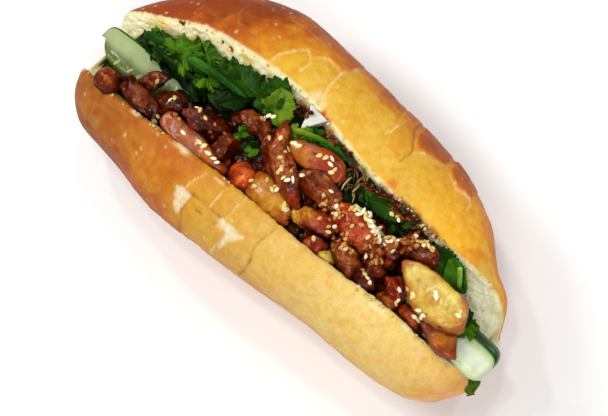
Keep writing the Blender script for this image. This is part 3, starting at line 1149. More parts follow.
# Leaves on each node: place as shares of the node's box; yaw, pitch and roll; length and width;
# lobes as add_leaf counts them; colours.
LEAVES = {
    "leaf_large": (((0.42, 0.02, 0.7), (178, -4, 0), (21, 12), -3, DEEP),
                   ((0.85, 0.4, 0.8), (60, 0, -12), (12, 9), 3, FRESH),
                   ((0.15, 0.55, 0.4), (150, 8, 12), (12, 10), 3, DEEP),
                   ((0.55, 0.15, 0.3), (200, 8, -12), (13, 11), 3, DEEP)),
    "leaf_lobed": (((0.60, 0.40, 0.6), (-50, 4, 2), (18, 13), -3, LIGHT),
                   ((0.26, 0.36, 0.5), (-118, 4, -8), (15, 11), -3, DEEP),
                   ((0.30, 0.90, 0.1), (20, 0, 0), (12, 9), 3, FRESH),
                   ((0.15, 0.8, 0.5), (160, 0, 0), (13, 10), 3, DEEP)),
    "leaf_dark_middle": (((0.5, 0.5, 1.3), (60, 10, 20), (11, 7), 0, SHADE),
                         ((0.2, 0.1, 1.8), (-20, 0, 20), (10, 8), 3, SHADE),
                         ((-0.3, 1.0, 0.4), (10, 0, 10), (12, 8), 3, SHADE),
                         ((1.2, 1.2, 0.6), (-10, 0, 10), (12, 7), 3, SHADE)),
    "leaf_strip_right": (((0.5, 0.45, 1.0), (16, 0, 24), (21, 8), 0, DEEP),
                         ((0.95, 0.75, 0.7), (60, 0, -10), (9, 6), 3, DEEP),
                         ((0.1, 0.2, 0.2), (-10, 0, -10), (14, 6), 0, DEEP)),
    "leaf_wide_right": (((0.40, 0.42, 0.8), (4, 4, 10), (26, 13), 0, DEEP),
                        ((0.72, 0.50, 1.0), (-28, 6, 26), (17, 9), 0, FRESH),
                        ((0.15, 0.3, 0.5), (160, 0, -12), (13, 9), 0, DEEP),
                        ((0.45, 0.1, 0.4), (10, 0, -20), (18, 8), 0, SHADE)),
    "leaf_end_right": (((0.25, 0.6, 0.9), (5, 4, 8), (12, 8), 3, DEEP),
                       ((0.55, 0.3, 0.9), (-20, 10, -10), (10, 8), 3, FRESH),
                       ((0.0, 0.3, 0.8), (-60, 10, -10), (8, 7), 3, DEEP)),
    "leaf_end_left": (((0.72, 0.35, 0.9), (-38, 0, -14), (17, 11), 0, DEEP),
                      ((0.8, 0.2, 0.7), (-20, 0, -10), (13, 10), 3, DEEP),
                      ((0.5, 0.6, 0.5), (40, -10, 18), (12, 9), 3, SHADE)),
    "coriander_left": (((0.37, 0.48, 1.1), (80, 6, 4), (15, 15), 5, FRESH),
                       ((0.42, 0.30, 1.0), (-60, 6, 4), (12, 11), 5, FRESH),
                       ((0.27, 0.48, 0.95), (165, 4, 10), (12, 10), 3, FRESH),
                       ((0.42, 0.72, 1.0), (170, 0, 16), (13, 8), 3, DEEP),
                       ((0.53, 0.72, 1.0), (20, 0, 16), (13, 8), 5, FRESH),
                       ((0.66, 0.68, 1.0), (120, 6, 10), (11, 8), 3, DEEP),
                       ((0.78, 0.58, 1.0), (16, 0, 14), (14, 8), -3, DEEP),
                       ((0.70, 0.36, 1.0), (12, 0, -14), (13, 9), 5, FRESH),
                       ((0.58, 0.34, 0.95), (-170, 4, 0), (12, 9), 3, DEEP),
                       ((0.10, 0.34, 0.7), (30, 4, 10), (9, 7), 3, FRESH),
                       ((0.20, 0.38, 0.9), (28, 8, 12), (11, 8), 3, DEEP),
                       ((0.93, 0.40, 1.0), (58, 0, 30), (17, 7), 0, SHADE),
                       ((0.84, 0.24, 0.9), (20, 0, 10), (14, 8), 0, SHADE)),
}

# Sides of a stalk and ribs along it.
STALK_SIDES = 14
STALK_RIBS = 3
# Stalks: points as shares of the node's box, radii in mm, colours from its start to its end.
STALKS = {
    "stem_left": (((-0.05, 0.1, 0.8), (0.3, 0.5, 1.0), (0.65, 0.8, 1.1), (1.05, 1.1, 0.9)),
                  (2.2, 2.1, 1.7, 1.0), ((60, 118, 26), (24, 66, 10), (34, 84, 16))),
    "stem_middle": (((0.0, 0.0, 0.6), (0.25, 0.4, 0.9), (0.5, 0.75, 1.0), (0.75, 0.95, 0.9), (1.0, 1.0, 0.5)),
                    (1.5, 1.4, 1.3, 1.2, 1.0), ((156, 160, 40), (66, 108, 16), (36, 78, 12))),
    "stem_right": (((0.0, 1.0, 1.1), (0.4, 0.62, 1.0), (1.0, 0.0, 0.5)), (1.2, 1.3, 0.9),
                   (STEM_PALE, (110, 150, 50), (90, 130, 40))),
}

# Leaves beside a stalk or tucked between the pieces of meat, given like the ones above.
LOOSE_LEAVES = {
    "stem_middle": (((0.05, 0.0, 0.8), (24, 8, 14), (10, 6), 3, (LEAF_MID, LEAF_YELLOW)),
                    ((0.22, 0.25, 1.0), (48, 0, 20), (10, 6), 3, (LEAF_MID, LEAF_YELLOW)),
                    ((0.38, 0.5, 1.1), (20, 0, 10), (9, 6), 3, FRESH),
                    ((0.52, 0.75, 1.1), (12, 4, 24), (10, 6), 3, DEEP),
                    ((0.68, 0.85, 1.0), (-8, 4, 14), (10, 6), 3, DEEP),
                    ((0.85, 0.95, 0.9), (4, 0, 20), (13, 5), 0, DEEP),
                    ((0.7, 0.6, 0.3), (16, 0, 10), (14, 8), 3, SHADE)),
    "pickle_shreds": (((0.5, 0.2, -0.2), (20, 10, 10), (15, 12), 3, SHADE),
                      ((1.3, 0.6, 0.2), (-30, 10, 10), (13, 9), 3, SHADE),
                      ((-0.4, -0.2, 0.2), (60, 10, 10), (12, 9), 3, SHADE),
                      ((1.2, -0.6, 0.2), (140, 10, 10), (13, 9), 3, SHADE)),
    "pork_chunk_left_small": (((0.55, 1.0, 1.0), (20, 30, 20), (7, 6), 3, FRESH),
                              ((1.25, 0.8, 0.8), (-70, 10, 30), (7, 5), 3, FRESH),
                              ((0.9, 1.1, 0.4), (10, 0, 0), (12, 9), 3, SHADE)),
    "coriander_left": (((0.36, 0.18, 0.9), (4, 0, 10), (24, 4), 0, SHADE),),
    "cucumber_left": (((0.62, 0.95, 1.1), (176, 0, -8), (18, 7), 0, SHADE),
                      ((0.82, 0.75, 1.0), (184, 0, -8), (18, 8), 0, SHADE),
                      ((0.45, 1.02, 1.0), (4, 0, -8), (16, 5), 0, DEEP)),
}

# Cut stalks among the leaves on the left: both ends as shares of the herb's box, radius, colour.
LOOSE_STALK_SIDES = 12
LOOSE_STALKS = (
    ((0.01, 0.24, 0.72), (0.33, 0.42, 0.95), 1.9, (26, 70, 8)),
    ((0.16, 0.14, 0.75), (0.62, 0.2, 0.8), 1.3, (20, 48, 6)),
    ((0.48, 0.42, 1.05), (0.84, 0.52, 1.05), 1.2, (22, 66, 10)),
)


def add_stalks(heap, node, rows, seed):
    """Puts short, ribbed stalks on a heap."""
    s = np.linspace(0, 1, 24)
    for k, (start, end, radius, colour) in enumerate(rows):
        start = part_way(node, *start)
        end = part_way(node, *end)
        line = start + (end - start) * s[:, None]
        line[:, 2] += 1.2 * np.sin(math.pi * s)
        blunt = np.minimum(1, 9 * np.minimum(s + 0.04, 1.04 - s))
        width = radius * (1 + 0.1 * lumps(line, 3, seed + k)) * blunt
        points, faces = tube_form(line, width, LOOSE_STALK_SIDES)
        rib = np.tile(np.cos(np.arange(LOOSE_STALK_SIDES) * math.pi / 2), len(line))
        tint = linear(colour) * (1 + 0.35 * rib + 0.3 * lumps(points, 3, seed + k))[:, None]
        heap.add(points, faces, tint)


def add_leaves(heap, node, rows, seed):
    """Puts a table's leaves on a heap."""
    for k, (share, (yaw, pitch, roll), (length, width), lobes, colours) in enumerate(rows):
        place = part_way(node, *share)
        add_leaf(heap, place, (roll, pitch, yaw), length, width, colours, seed + 5 * k, lobes)


def make_leaves(node, rows, seed):
    """The leaves that stand for one herb node."""
    heap = Heap()
    add_leaves(heap, node, rows, seed)
    if node == "coriander_left":
        add_undergrowth(heap, node, seed)
    return heap.piece(node + "_herb", LEAF_LOOK, slot_of(node), node)


def make_loose_leaves(seed):
    """Leaves that lie beside the named pieces."""
    heap = Heap()
    for number, (node, rows) in enumerate(LOOSE_LEAVES.items()):
        add_leaves(heap, node, rows, seed + 40 * number)
    add_stalks(heap, "coriander_left", LOOSE_STALKS, seed)
    return heap.piece("loose_leaves", LEAF_LOOK, "herb")


# How many small leaves lie below the upper ones of a bunch.
UNDERGROWTH = 60


def add_undergrowth(heap, node, seed):
    """Small dark leaves that fill a bunch below its upper leaves."""
    spread = np.random.default_rng(seed)
    for k in range(UNDERGROWTH):
        along = spread.uniform(0.05, 0.97)
        share = (along, spread.uniform(0.22, 0.3 + 0.62 * along), spread.uniform(0.1, 0.6))
        turn = (spread.uniform(-25, 25), spread.uniform(-20, 20), spread.uniform(0, 360))
        size = spread.uniform(8, 12)
        colours = SHADE if spread.uniform() < 0.65 else DEEP
        add_leaf(heap, part_way(node, *share), turn, size, 0.85 * size, colours, seed + 91 * k, 3)


# The sprig's leaves: shift from its node's middle, roll, pitch and yaw, length and width.
SPRIG = (((0.5, 0, 1.5), (10, 52, -98), 11, 4.6), ((-1.5, 3, 1.5), (0, 35, -60), 7, 3.6))


def make_sprig(node, seed):
    """Narrow pale leaves that hang out at the end of the roll."""
    heap = Heap()
    centre, _ = middle_of(node)
    for k, (shift, turn, length, width) in enumerate(SPRIG):
        add_leaf(heap, centre + np.array(shift), turn, length, width, LIGHT, seed + k)
    return heap.piece(node + "_herb", LEAF_LOOK, slot_of(node), node)


def make_stalk(node, shares, radii, colours, seed):
    """A wet stalk along a smooth line, with faint ribs."""
    knots = np.linspace(0, 1, len(shares))
    s = np.linspace(0, 1, 40)
    corners = np.array([part_way(node, *share) for share in shares])
    line = np.stack([curve(knots, corners[:, i], s) for i in range(3)], axis=1)
    width = curve(np.linspace(0, 1, len(radii)), radii, s)
    width = width * (1 + 0.14 * lumps(line, 3, seed)) * np.minimum(1, 8 * np.minimum(s + 0.03, 1.03 - s))
    points, faces = tube_form(line, width, STALK_SIDES)
    rib = np.tile(np.cos(np.arange(STALK_SIDES) * 2 * math.pi / STALK_SIDES * STALK_RIBS), len(line))
    tint = ramp(np.linspace(0, 1, len(colours)), colours, np.repeat(s, STALK_SIDES))
    tint = tint * (1 + 0.25 * rib + 0.2 * lumps(points, 2.5, seed + 1))[:, None]
    mesh = mesh_of(node + "_stalk", points, faces, tint)
    return add_piece(node + "_stalk", mesh, LEAF_LOOK, slot_of(node), node)


# ---------------------------------------------------------------- cucumber, radish and shreds
CUCUMBER_SKIN = ((24, 52, 16), (58, 96, 34))
CUCUMBER_RIND = (148, 182, 84)
CUCUMBER_SEED = (164, 172, 104)
CUCUMBER_SEED_SIZE = (0.9, 2.2, 0.4)
CUCUMBER_ROWS = 120
CUCUMBER_AROUND = 64
# Flesh and seed zone colours of each slice; share of the width taken by skin and by the seed zone;
# number of seeds; slant of its ends in mm; turn; length, width and thickness.
CUCUMBERS = {
    "cucumber_left": ((158, 170, 122), (88, 100, 32), 0.1, 0.44, 8, 2.4, (0, -1, 2), (53, 16.5, 6)),
    "cucumber_right": ((214, 220, 196), (202, 214, 170), 0.3, 0.16, 0, 0.0, (0, -4, -1), (58, 18.5, 7.5)),
}


def make_cucumber(node, flesh, pulp, skin, zone, seeds, slant, turn, size, seed):
    """Lengthwise slice: dark skin on its outer edge, pale flesh and a wet strip of seeds."""
    length, width, thick = size
    a = np.linspace(0, 2 * math.pi, CUCUMBER_AROUND, endpoint=False)
    across = np.sign(np.cos(a)) * np.abs(np.cos(a)) ** 0.42
    height = np.sign(np.sin(a)) * np.abs(np.sin(a)) ** 0.5
    slope = np.maximum(across - (1 - skin), 0) / skin
    height = np.where(height > 0, height * (1 - 0.75 * slope ** 1.5), height)
    rings = []
    for t in np.linspace(-1, 1, CUCUMBER_ROWS):
        shrink = (1 - abs(t) ** 14) ** 0.4 if abs(t) < 1 else 0.03
        y = across * width / 2 * shrink * (1 + 0.02 * math.sin(5 * t + seed))
        z = height * thick / 2 * min(1, shrink * 1.2) - 1.2 * t * t
        corner = 3.5 * slant / 2.4 * np.maximum(-across, 0) ** 4 * -t
        rings.append(np.stack([t * length / 2 - slant * across + corner, y, z], axis=1))
    local = np.array(rings).reshape(-1, 3)
    v = np.tile(across, CUCUMBER_ROWS)
    wobble = 0.03 * lumps(local, 6, seed)
    skin_edge = 1 - 2 * skin + wobble
    pulp_edge = -1 + 2 * zone + 0.1 * lumps(local * np.array((1, 0, 0)), 3, seed + 4) + 2 * wobble
    tint = blend(linear(pulp), linear(flesh), step(v, pulp_edge - 0.3, pulp_edge + 0.3))
    tint = blend(tint, linear(CUCUMBER_RIND), 0.8 * step(v, skin_edge - 0.14, skin_edge))
    streak = 0.5 + 0.5 * lumps(local * np.array((0.2, 1, 1)), 1.6, seed + 1)
    skin_tint = blend(linear(CUCUMBER_SKIN[0]), linear(CUCUMBER_SKIN[1]), streak ** 2)
    tint = np.where((v > skin_edge)[:, None], skin_tint, tint)
    tint = tint * (1 + 0.06 * rough(local, 3, 2, seed + 2))[:, None]
    local[:, 2] += 0.08 * rough(local, 3.5, 2, seed + 3)
    centre, _ = middle_of(node)
    heap = Heap()
    heap.add(placed(local, centre, turn), tube_faces(CUCUMBER_ROWS, CUCUMBER_AROUND), tint)
    pip, pip_faces = ball(8, 10)
    spread = np.random.default_rng(seed)
    for k in range(seeds):
        along = k / (seeds - 1) - 0.5
        x = along * length * 0.8 + spread.uniform(-0.9, 0.9) + slant
        y = -width / 2 * (1 - 1.1 * zone) + spread.uniform(-1.8, 1.0)
        spot = np.array((x, y, thick / 2 - 4.8 * along ** 2))
        form = pip * np.array(CUCUMBER_SEED_SIZE) * spread.uniform(0.8, 1.1)
        form = placed(form, spot, (0, 0, spread.uniform(-24, 14)))
        heap.add(placed(form, centre, turn), pip_faces, linear(CUCUMBER_SEED) * spread.uniform(0.75, 1.15))
    return heap.piece(node + "_slice", CUCUMBER_LOOK, slot_of(node), node)


# The radish wedge: half sizes, shift from its node's middle, roll, pitch and yaw, colours; its cut sides
# as direction in degrees and distance as a share of the half size; the same distance above and below.
RADISH_SIZE = (7.4, 9.4, 9)
RADISH_SHIFT = (-1.5, 1.5, 0.4)
RADISH_TURN = (8, 0, -6)
RADISH_COLOURS = ((228, 228, 214), (188, 188, 168))
RADISH_SIDES = ((90, 0.42), (212, 0.36), (328, 0.36))
RADISH_FACE = 0.3
RADISH_PRESS = 0.96


def make_radish(node, seed):
    """A wedge of pickled radish: a ball cut flat on three sides, above and below."""
    form, faces = ball(40, 60)
    cuts = [((math.cos(math.radians(a)), math.sin(math.radians(a)), 0), share) for a, share in RADISH_SIDES]
    cuts += [((0, 0, 1), RADISH_FACE), ((0, 0, -1), RADISH_FACE)]
    for direction, share in cuts:
        beyond = np.maximum(form @ np.array(direction) - share, 0)
        form = form - beyond[:, None] * RADISH_PRESS * np.array(direction)
    centre, _ = middle_of(node)
    points = placed(form * np.array(RADISH_SIZE), centre + np.array(RADISH_SHIFT), RADISH_TURN)
    points += 0.2 * lumps(points, 3, seed)[:, None]
    tint = blend(*(linear(colour) for colour in RADISH_COLOURS), 0.5 + 0.5 * lumps(points, 4, seed))
    mesh = mesh_of(node + "_wedge", points, faces, tint)
    return add_piece(node + "_wedge", mesh, RADISH_LOOK, slot_of(node), node)


SHREDS = 26
SHRED_COLOURS = ((132, 88, 36), (196, 160, 92), (92, 54, 20), (176, 104, 40), (66, 36, 14))


def make_shreds(node, seed):
    """Thin pickled shreds that lie across each other."""
    heap = Heap()
    spread = np.random.default_rng(seed)
    s = np.linspace(-0.5, 0.5, 10)
    for k in range(SHREDS):
        length = spread.uniform(3, 8)
        sag = spread.uniform(0.1, 0.7)
        line = np.stack([s * length, 0.7 * np.sin(3 * s + k), sag * np.cos(4 * s)], axis=1)
        place = part_way(node, spread.uniform(-0.4, 1.2), spread.uniform(-0.2, 1.1), spread.uniform(0.0, 1.0))
        line = placed(line, place, (0, spread.uniform(-30, 30), spread.uniform(40, 140)))
        radii = spread.uniform(0.25, 0.6) * (1.02 - (2 * s) ** 4)
        points, faces = tube_form(line, radii, 7)
        heap.add(points, faces, linear(SHRED_COLOURS[k % len(SHRED_COLOURS)]) * spread.uniform(0.6, 1.1))
    return heap.piece(node + "_shreds", RADISH_LOOK, slot_of(node), node)


# ---------------------------------------------------------------- seeds, crumbs and flakes
# Half sizes of one form of each kind.
SEED_SIZE = (1.6, 0.95, 0.45)
SCRAP_SIZE = (1.2, 0.9, 0.7)
FLAKE_SIZE = (1.1, 0.65, 0.35)
# In a group, the forms beyond this many lie up to PILE_HEIGHT higher, on top of the others.
PILE_FLOOR = 14
PILE_HEIGHT = 1.5
# Where things are dropped from.
DROP_HEIGHT = 120
# Sesame on each node: how many, middle and spread as shares of the node's box.
SESAME = (
    ("pork_chunk_red", 44, (0.58, 0.86), (0.36, 0.13)), ("pork_chunk_red", 18, (0.8, 0.74), (0.14, 0.12)),
    ("pork_chunk_red", 5, (0.1, 0.5), (0.08, 0.2)), ("pork_chunk_red", 5, (0.5, 0.45), (0.3, 0.15)),
    ("pork_chunk_right", 11, (0.5, 0.85), (0.3, 0.12)), ("pork_fat_slice_right", 8, (0.5, 0.55), (0.2, 0.06)),
    ("pork_fat_slice_right", 4, (0.25, 0.15), (0.12, 0.05)),
    ("pork_fat_slice_right", 2, (0.85, 0.6), (0.05, 0.1)), ("pork_low_middle", 7, (0.6, 0.5), (0.3, 0.15)),
    ("pork_chunk_left", 3, (0.35, 0.6), (0.25, 0.2)), ("pork_slab_back", 4, (0.75, 0.75), (0.15, 0.15)),
    ("pork_strip_diagonal", 8, (0.35, 0.65), (0.2, 0.2)),
    ("pork_strip_diagonal", 6, (0.62, 0.3), (0.12, 0.1)),
    ("pork_fat_middle", 4, (0.35, 0.75), (0.2, 0.12)), ("pork_fat_middle", 3, (0.12, 0.35), (0.08, 0.1)),
    ("pork_fat_middle", 3, (0.85, 0.5), (0.08, 0.2)), ("pork_fat_slice_back", 6, (0.7, 0.7), (0.2, 0.25)),
    ("pork_chunk_middle", 4, (0.5, 0.5), (0.35, 0.3)), ("pork_strip_rising", 4, (0.6, 0.75), (0.3, 0.2)),
    ("pork_bit_red_low", 1, (0.4, 0.6), (0.05, 0.05)), ("pork_slab_right", 5, (0.4, 0.55), (0.25, 0.2)),
    ("pork_bit_low_right", 4, (0.4, 0.5), (0.3, 0.25)), ("pork_bit_low_end", 2, (0.6, 0.6), (0.3, 0.2)),
    ("pork_strip_low_end", 5, (0.45, 0.6), (0.3, 0.25)), ("pork_curl", 1, (0.6, 0.5), (0.1, 0.1)),
    ("pork_back_left", 2, (0.6, 0.6), (0.2, 0.2)), ("pork_low_left", 2, (0.85, 0.5), (0.05, 0.3)),
    ("pork_link", 3, (0.4, 0.5), (0.3, 0.3)), ("pork_mince_middle", 2, (0.5, 0.6), (0.3, 0.2)),
    ("leaf_strip_right", 3, (0.6, 0.4), (0.3, 0.2)), ("pickle_shreds", 2, (0.5, 0.6), (0.4, 0.3)),
)
SEED_COLOURS = ((244, 230, 190), (234, 214, 150), (220, 192, 116), (248, 238, 206), (206, 168, 92))
# Minced scraps of meat, given like the sesame.
SCRAPS = (
    ("pork_chunk_red", 30, (0.84, 0.32), (0.13, 0.25)), ("pork_chunk_red", 6, (0.12, 0.4), (0.1, 0.25)),
    ("pork_mince_middle", 34, (0.5, 0.7), (0.35, 0.25)), ("pork_chunk_middle", 10, (0.8, 0.4), (0.16, 0.25)),
    ("pork_chunk_right", 10, (0.3, 0.5), (0.2, 0.25)), ("pork_strip_rising", 12, (0.88, 0.7), (0.1, 0.2)),
    ("pork_slab_right", 20, (0.45, 0.6), (0.35, 0.3)), ("pork_chunk_left", 5, (0.75, 0.5), (0.2, 0.2)),
    ("pork_strip_diagonal", 8, (0.55, 0.45), (0.1, 0.1)), ("pork_end_knob", 3, (0.5, 0.6), (0.3, 0.3)),
    ("pork_low_middle", 5, (0.1, 0.6), (0.08, 0.3)), ("pork_link", 14, (0.5, 0.6), (0.4, 0.3)),
)
SCRAP_COLOURS = ((132, 58, 18), (184, 112, 52), (112, 42, 12), (206, 148, 84), (150, 62, 18))
# Flakes of chilli and dark sauce, given like the sesame.
FLAKES = (
    ("leaf_dark_middle", 40, (0.5, 1.2), (0.45, 0.3)), ("coriander_left", 3, (0.55, 1.05), (0.08, 0.05)),
    ("coriander_left", 3, (0.18, 0.8), (0.02, 0.05)), ("pickle_shreds", 6, (0.2, 1.2), (0.6, 0.2)),
    ("mince_strip", 120, (0.5, 0.6), (0.55, 0.45)), ("stem_middle", 36, (0.75, 1.15), (0.24, 0.16)),
)
FLAKE_COLOURS = ((104, 22, 6), (126, 42, 10), (66, 18, 6), (44, 14, 6), (148, 72, 24))

# Directions that a point looks in for whatever closes over it, and how far, in mm.
CREVICE_RAYS = ((0, 0, 1), (0.7, 0.1, 0.7), (-0.4, 0.6, 0.7), (-0.4, -0.6, 0.7), (0.3, 0.5, 0.8),
                (0.2, -0.6, 0.8))
CREVICE_REACH = 12.0
# Colour of the hollows, and how much of it the deepest ones take.
MEAT_CREVICE = ((30, 6, 1), 0.9)
LEAF_CREVICE = ((6, 16, 1), 0.75)


def shade_crevices(pieces, tree, colour, strength):
    """Darkens each piece where its neighbours close over it, as sauce and damp gather there."""
    for piece in pieces:
        mesh = piece.data
        points, normals = corners_of(mesh)
        hidden = np.zeros(len(points))
        for ray in CREVICE_RAYS:
            direction = Vector(ray).normalized()
            for k, start in enumerate((points + 0.5 * normals).tolist()):
                hidden[k] += tree.ray_cast(Vector(start), direction, CREVICE_REACH)[0] is not None
        layer = mesh.color_attributes["tint"].data
        tint = np.zeros(len(points) * 4, np.float32)
        layer.foreach_get("color", tint)
        paint(mesh, blend(tint.reshape(-1, 4)[:, :3], linear(colour), strength * hidden / len(CREVICE_RAYS)))


def search_tree(pieces):
    """Search tree over the surfaces of several pieces, in mm."""
    points = []
    faces = []
    for piece in pieces:
        start = len(points)
        points.extend(v.co / MM for v in piece.data.vertices)
        faces.extend([start + i for i in polygon.vertices] for polygon in piece.data.polygons)
    return BVHTree.FromPolygons(points, faces)


def dropped(tree, x, y):
    """Where something dropped from above comes to lie, and the surface's direction there."""
    spot, normal, _, _ = tree.ray_cast(Vector((x, y, DROP_HEIGHT)), Vector((0, 0, -1)))
    if spot is None:
        return None, None
    return np.array(spot), normal


def scatter(name, look, slot, tree, rows, form, faces, sizes, rise, colours, seed):
    """Drops many small forms on the filling; each one's middle lies rise half heights above it."""
    spread = np.random.default_rng(seed)
    heap = Heap()
    for node, count, middle, reach in rows:
        for number in range(count):
            fx = middle[0] + reach[0] * spread.uniform(-1, 1)
            fy = middle[1] + reach[1] * spread.uniform(-1, 1)
            place = part_way(node, fx, fy, 0)
            spot, normal = dropped(tree, place[0], place[1])
            size = np.array(sizes) * spread.uniform(0.82, 1.12, 3)
            spin = spread.uniform(0, 2 * math.pi)
            lift = spread.uniform(0, 1)
            colour = colours[int(spread.integers(len(colours)))]
            if spot is None:
                continue
            normal = Vector(normal) + Vector(spread.uniform(-0.25, 0.25, 3))
            spot[2] += size[2] * rise
            if number > PILE_FLOOR:
                spot[2] += PILE_HEIGHT * lift
            heap.add(laid(form * size, spot, normal, spin), faces, linear(colour))
    return heap.piece(name, look, slot)


# Places tried for small lumps, the colours that they pick from, and how far a place may lie above the
# bed and still be open.
BITS = 900
BIT_GLAZES = (GLAZE_DARK, GLAZE_RED, GLAZE_DARK, GLAZE_BROWN)
OPEN_GAP = 0.05


def make_bits(pieces, bed, seed):
    """Small glazed lumps on the bed, in the gaps where no other piece lies over it."""
    everything = search_tree(pieces)
    below = search_tree([bed])
    centre, size = middle_of("pork_bed")
    spread = np.random.default_rng(seed)
    heap = Heap()
    form, faces = ball(12, 18)
    for _ in range(BITS):
        x = centre[0] + 0.5 * size[0] * spread.uniform(-0.96, 0.96)
        y = centre[1] + 0.5 * size[1] * spread.uniform(-0.8, 0.95)
        sizes = spread.uniform(1.3, 2.6, 3) * np.array((1.5, 1.0, 0.8))
        turn = (spread.uniform(-30, 30), spread.uniform(-30, 30), spread.uniform(0, 360))
        glaze = BIT_GLAZES[int(spread.integers(len(BIT_GLAZES)))]
        spot, _ = dropped(everything, x, y)
        floor, _ = dropped(below, x, y)
        if spot is None or floor is None or abs(spot[2] - floor[2]) > OPEN_GAP:
            continue
        bump = 1 + 0.4 * lumps(form, 0.8, int(spread.integers(1000))) + 0.15 * lumps(form, 0.3, 7)
        points = placed(form * bump[:, None] * sizes, spot + np.array((0, 0, 1.0)), turn)
        tint = ramp(GLAZE_STEPS, glaze, 0.9 * rough(points, 3, 2, seed) - 0.1)
        heap.add(points, faces, tint)
    return heap.piece("pork_bits", PORK_LOOK, "glazed_pork")


def seed_form():
    """Sesame seed: a flat drop, pointed at one end."""
    points, faces = ball(8, 12)
    taper = 1 - 0.42 * np.clip(points[:, 0], 0, 1) ** 1.5
    return points * np.stack([np.ones(len(points)), taper, taper ** 0.5], axis=1), faces


def scrap_form():
    """Uneven crumb."""
    points, faces = ball(8, 10)
    return points * (1 + 0.45 * lumps(points, 0.7, 5) + 0.25 * lumps(points, 0.35, 6))[:, None], faces


# Torn crumbs on the cut edges: half (0 low, 1 top), number, middle and spread along the roll.
CRUMBS = ((0, 24, 0.1, 0.85), (1, 70, 0.1, 0.85), (0, 26, 0.53, 0.06), (0, 6, -0.8, 0.16),
          (0, 12, -0.5, 0.14), (1, 30, 0.5, 0.2))
CRUMB_COLOURS = ((240, 226, 180), (236, 208, 140), (228, 190, 108), (222, 176, 92))


def make_crumbs(seed):
    """Bread crumbs that cling to the two cut edges."""
    spread = np.random.default_rng(seed)
    heap = Heap()
    form, faces = scrap_form()
    for side, count, middle, reach in CRUMBS:
        for _ in range(count):
            t = np.clip(np.array([middle + reach * spread.uniform(-1, 1)]), -0.97, 0.97)
            y, z = crust_lines(t, np.full(1, float(side)))
            x = (LOW_CENTRE, TOP_CENTRE)[side] + (LOW_HALF, TOP_HALF)[side] * t
            inwards = (0.5, -0.5)[side] + spread.uniform(-1.0, 1.0)
            place = np.array((x[0], y[0] + inwards, z[0] + spread.uniform(-0.6, 0.1))) - CENTRE
            size = spread.uniform(0.25, 0.62) * spread.uniform(0.6, 1.6, 3)
            colour = CRUMB_COLOURS[int(spread.integers(len(CRUMB_COLOURS)))]
            heap.add(placed(form * size, place, spread.uniform(0, 360, 3)), faces, linear(colour))
    return heap.piece("bread_crumbs", CRUMB_LOOK, "crust")


# ---------------------------------------------------------------- stage
WORLD_LIGHT = 0.32
FLOOR_SIDE = 6
FLOOR_SHADE = 0.95
# Lamps, which all face the frame's origin: name, place in metres, side in metres, watts. The small ones
# make the glints on what is wet.
LAMPS = (("key", (-0.65, -0.35, 0.95), 0.35, 5.2), ("fill", (0.5, -0.5, 1.0), 0.5, 5.2),
         ("glint_middle", (-0.25, 0.3, 1.1), 0.07, 1.5), ("glint_left", (-0.6, 0.1, 1.0), 0.07, 1.5),
         ("glint_back", (0.1, 0.65, 0.95), 0.07, 1.2), ("glint_near", (-0.05, -0.15, 1.15), 0.07, 1.2))
# Camera: where it looks and how far from there it stands, in metres; its direction in degrees; its
# lens in millimetres.
TARGET = (0.0073, -0.0145, 0.060)
DISTANCE = 0.8917
AZIMUTH = 43.26
ELEVATION = 72
FOCAL_LENGTH = 120
SENSOR_WIDTH = 36


def make_stage():
    """Pale floor, soft light from all round and lamps above."""
    bpy.ops.mesh.primitive_plane_add(size=FLOOR_SIDE)
    floor = bpy.context.object
    floor.name = "floor"
    paper = bpy.data.materials.new("paper")
    paper.use_nodes = True
    shader = paper.node_tree.nodes["Principled BSDF"]
    shader.inputs["Base Color"].default_value = (FLOOR_SHADE, FLOOR_SHADE, FLOOR_SHADE, 1)
    shader.inputs["Roughness"].default_value = 0.9
    floor.data.materials.append(paper)
    world = bpy.data.worlds.new("studio")
    bpy.context.scene.world = world
    world.use_nodes = True
    background = world.node_tree.nodes["Background"]
    background.inputs["Color"].default_value = (1.0, 1.0, 1.0, 1)
    background.inputs["Strength"].default_value = WORLD_LIGHT
    for name, place, size, power in LAMPS:
        lamp = bpy.data.lights.new(name, "AREA")
        lamp.shape = "SQUARE"
        lamp.size = size
        lamp.energy = power
        holder = bpy.data.objects.new(name, lamp)
        bpy.context.scene.collection.objects.link(holder)
        holder.location = place
        holder.rotation_euler = (-Vector(place)).to_track_quat("-Z", "Y").to_euler()
    bpy.context.scene.view_settings.view_transform = "Standard"


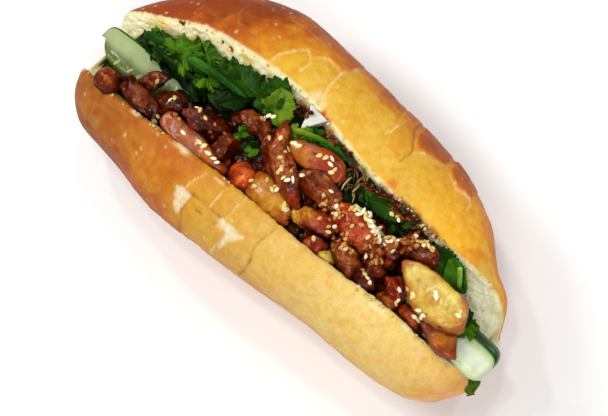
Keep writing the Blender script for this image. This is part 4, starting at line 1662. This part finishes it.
def make_camera():
    """Camera above the opening, a little from the lower half's side."""
    azimuth = math.radians(AZIMUTH)
    elevation = math.radians(ELEVATION)
    back = Vector((math.sin(azimuth) * math.cos(elevation), -math.cos(azimuth) * math.cos(elevation),
                   math.sin(elevation)))
    lens = bpy.data.cameras.new("camera")
    lens.lens = FOCAL_LENGTH
    lens.sensor_width = SENSOR_WIDTH
    holder = bpy.data.objects.new("camera", lens)
    bpy.context.scene.collection.objects.link(holder)
    holder.location = Vector(TARGET) + DISTANCE * back
    holder.rotation_euler = (-back).to_track_quat("-Z", "Y").to_euler()
    bpy.context.scene.camera = holder


make_stage()
make_camera()
bread = make_bread()
meat = []
for number, (name, row) in enumerate(PORK.items()):
    meat.append(make_pork(name, *row, 100 + 13 * number))
pork_bed = make_bed("pork_bed", *PORK_BED, PORK_LOOK, 8, 600)
meat.append(pork_bed)
greens = [make_bed("greens_bed", *GREENS_BED, LEAF_LOOK, 5, 640)]
for number, (name, rows) in enumerate(LEAVES.items()):
    greens.append(make_leaves(name, rows, 700 + 17 * number))
for number, (name, row) in enumerate(STALKS.items()):
    greens.append(make_stalk(name, *row, 800 + number))
greens.append(make_sprig("sprig_end", 826))
greens.append(make_loose_leaves(850))
filling = meat + greens
for number, (name, row) in enumerate(CUCUMBERS.items()):
    filling.append(make_cucumber(name, *row, 820 + number))
filling.append(make_radish("daikon_piece", 830))
filling.append(make_shreds("pickle_shreds", 840))
bits = make_bits(filling + [bread], pork_bed, 860)
meat.append(bits)
filling.append(bits)
ground = search_tree(filling + [bread])
shade_crevices(meat, ground, *MEAT_CREVICE)
shade_crevices(greens, ground, *LEAF_CREVICE)
scatter("sesame", SEED_LOOK, "crust", ground, SESAME, *seed_form(), SEED_SIZE, 0.55, SEED_COLOURS, 900)
scatter("meat_scraps", PORK_LOOK, "lean_pork", ground, SCRAPS, *scrap_form(), SCRAP_SIZE, 0.2,
        SCRAP_COLOURS, 910)
scatter("chilli_flakes", PORK_LOOK, "lean_pork", ground, FLAKES, *scrap_form(), FLAKE_SIZE, 0.35,
        FLAKE_COLOURS, 920)
make_crumbs(930)
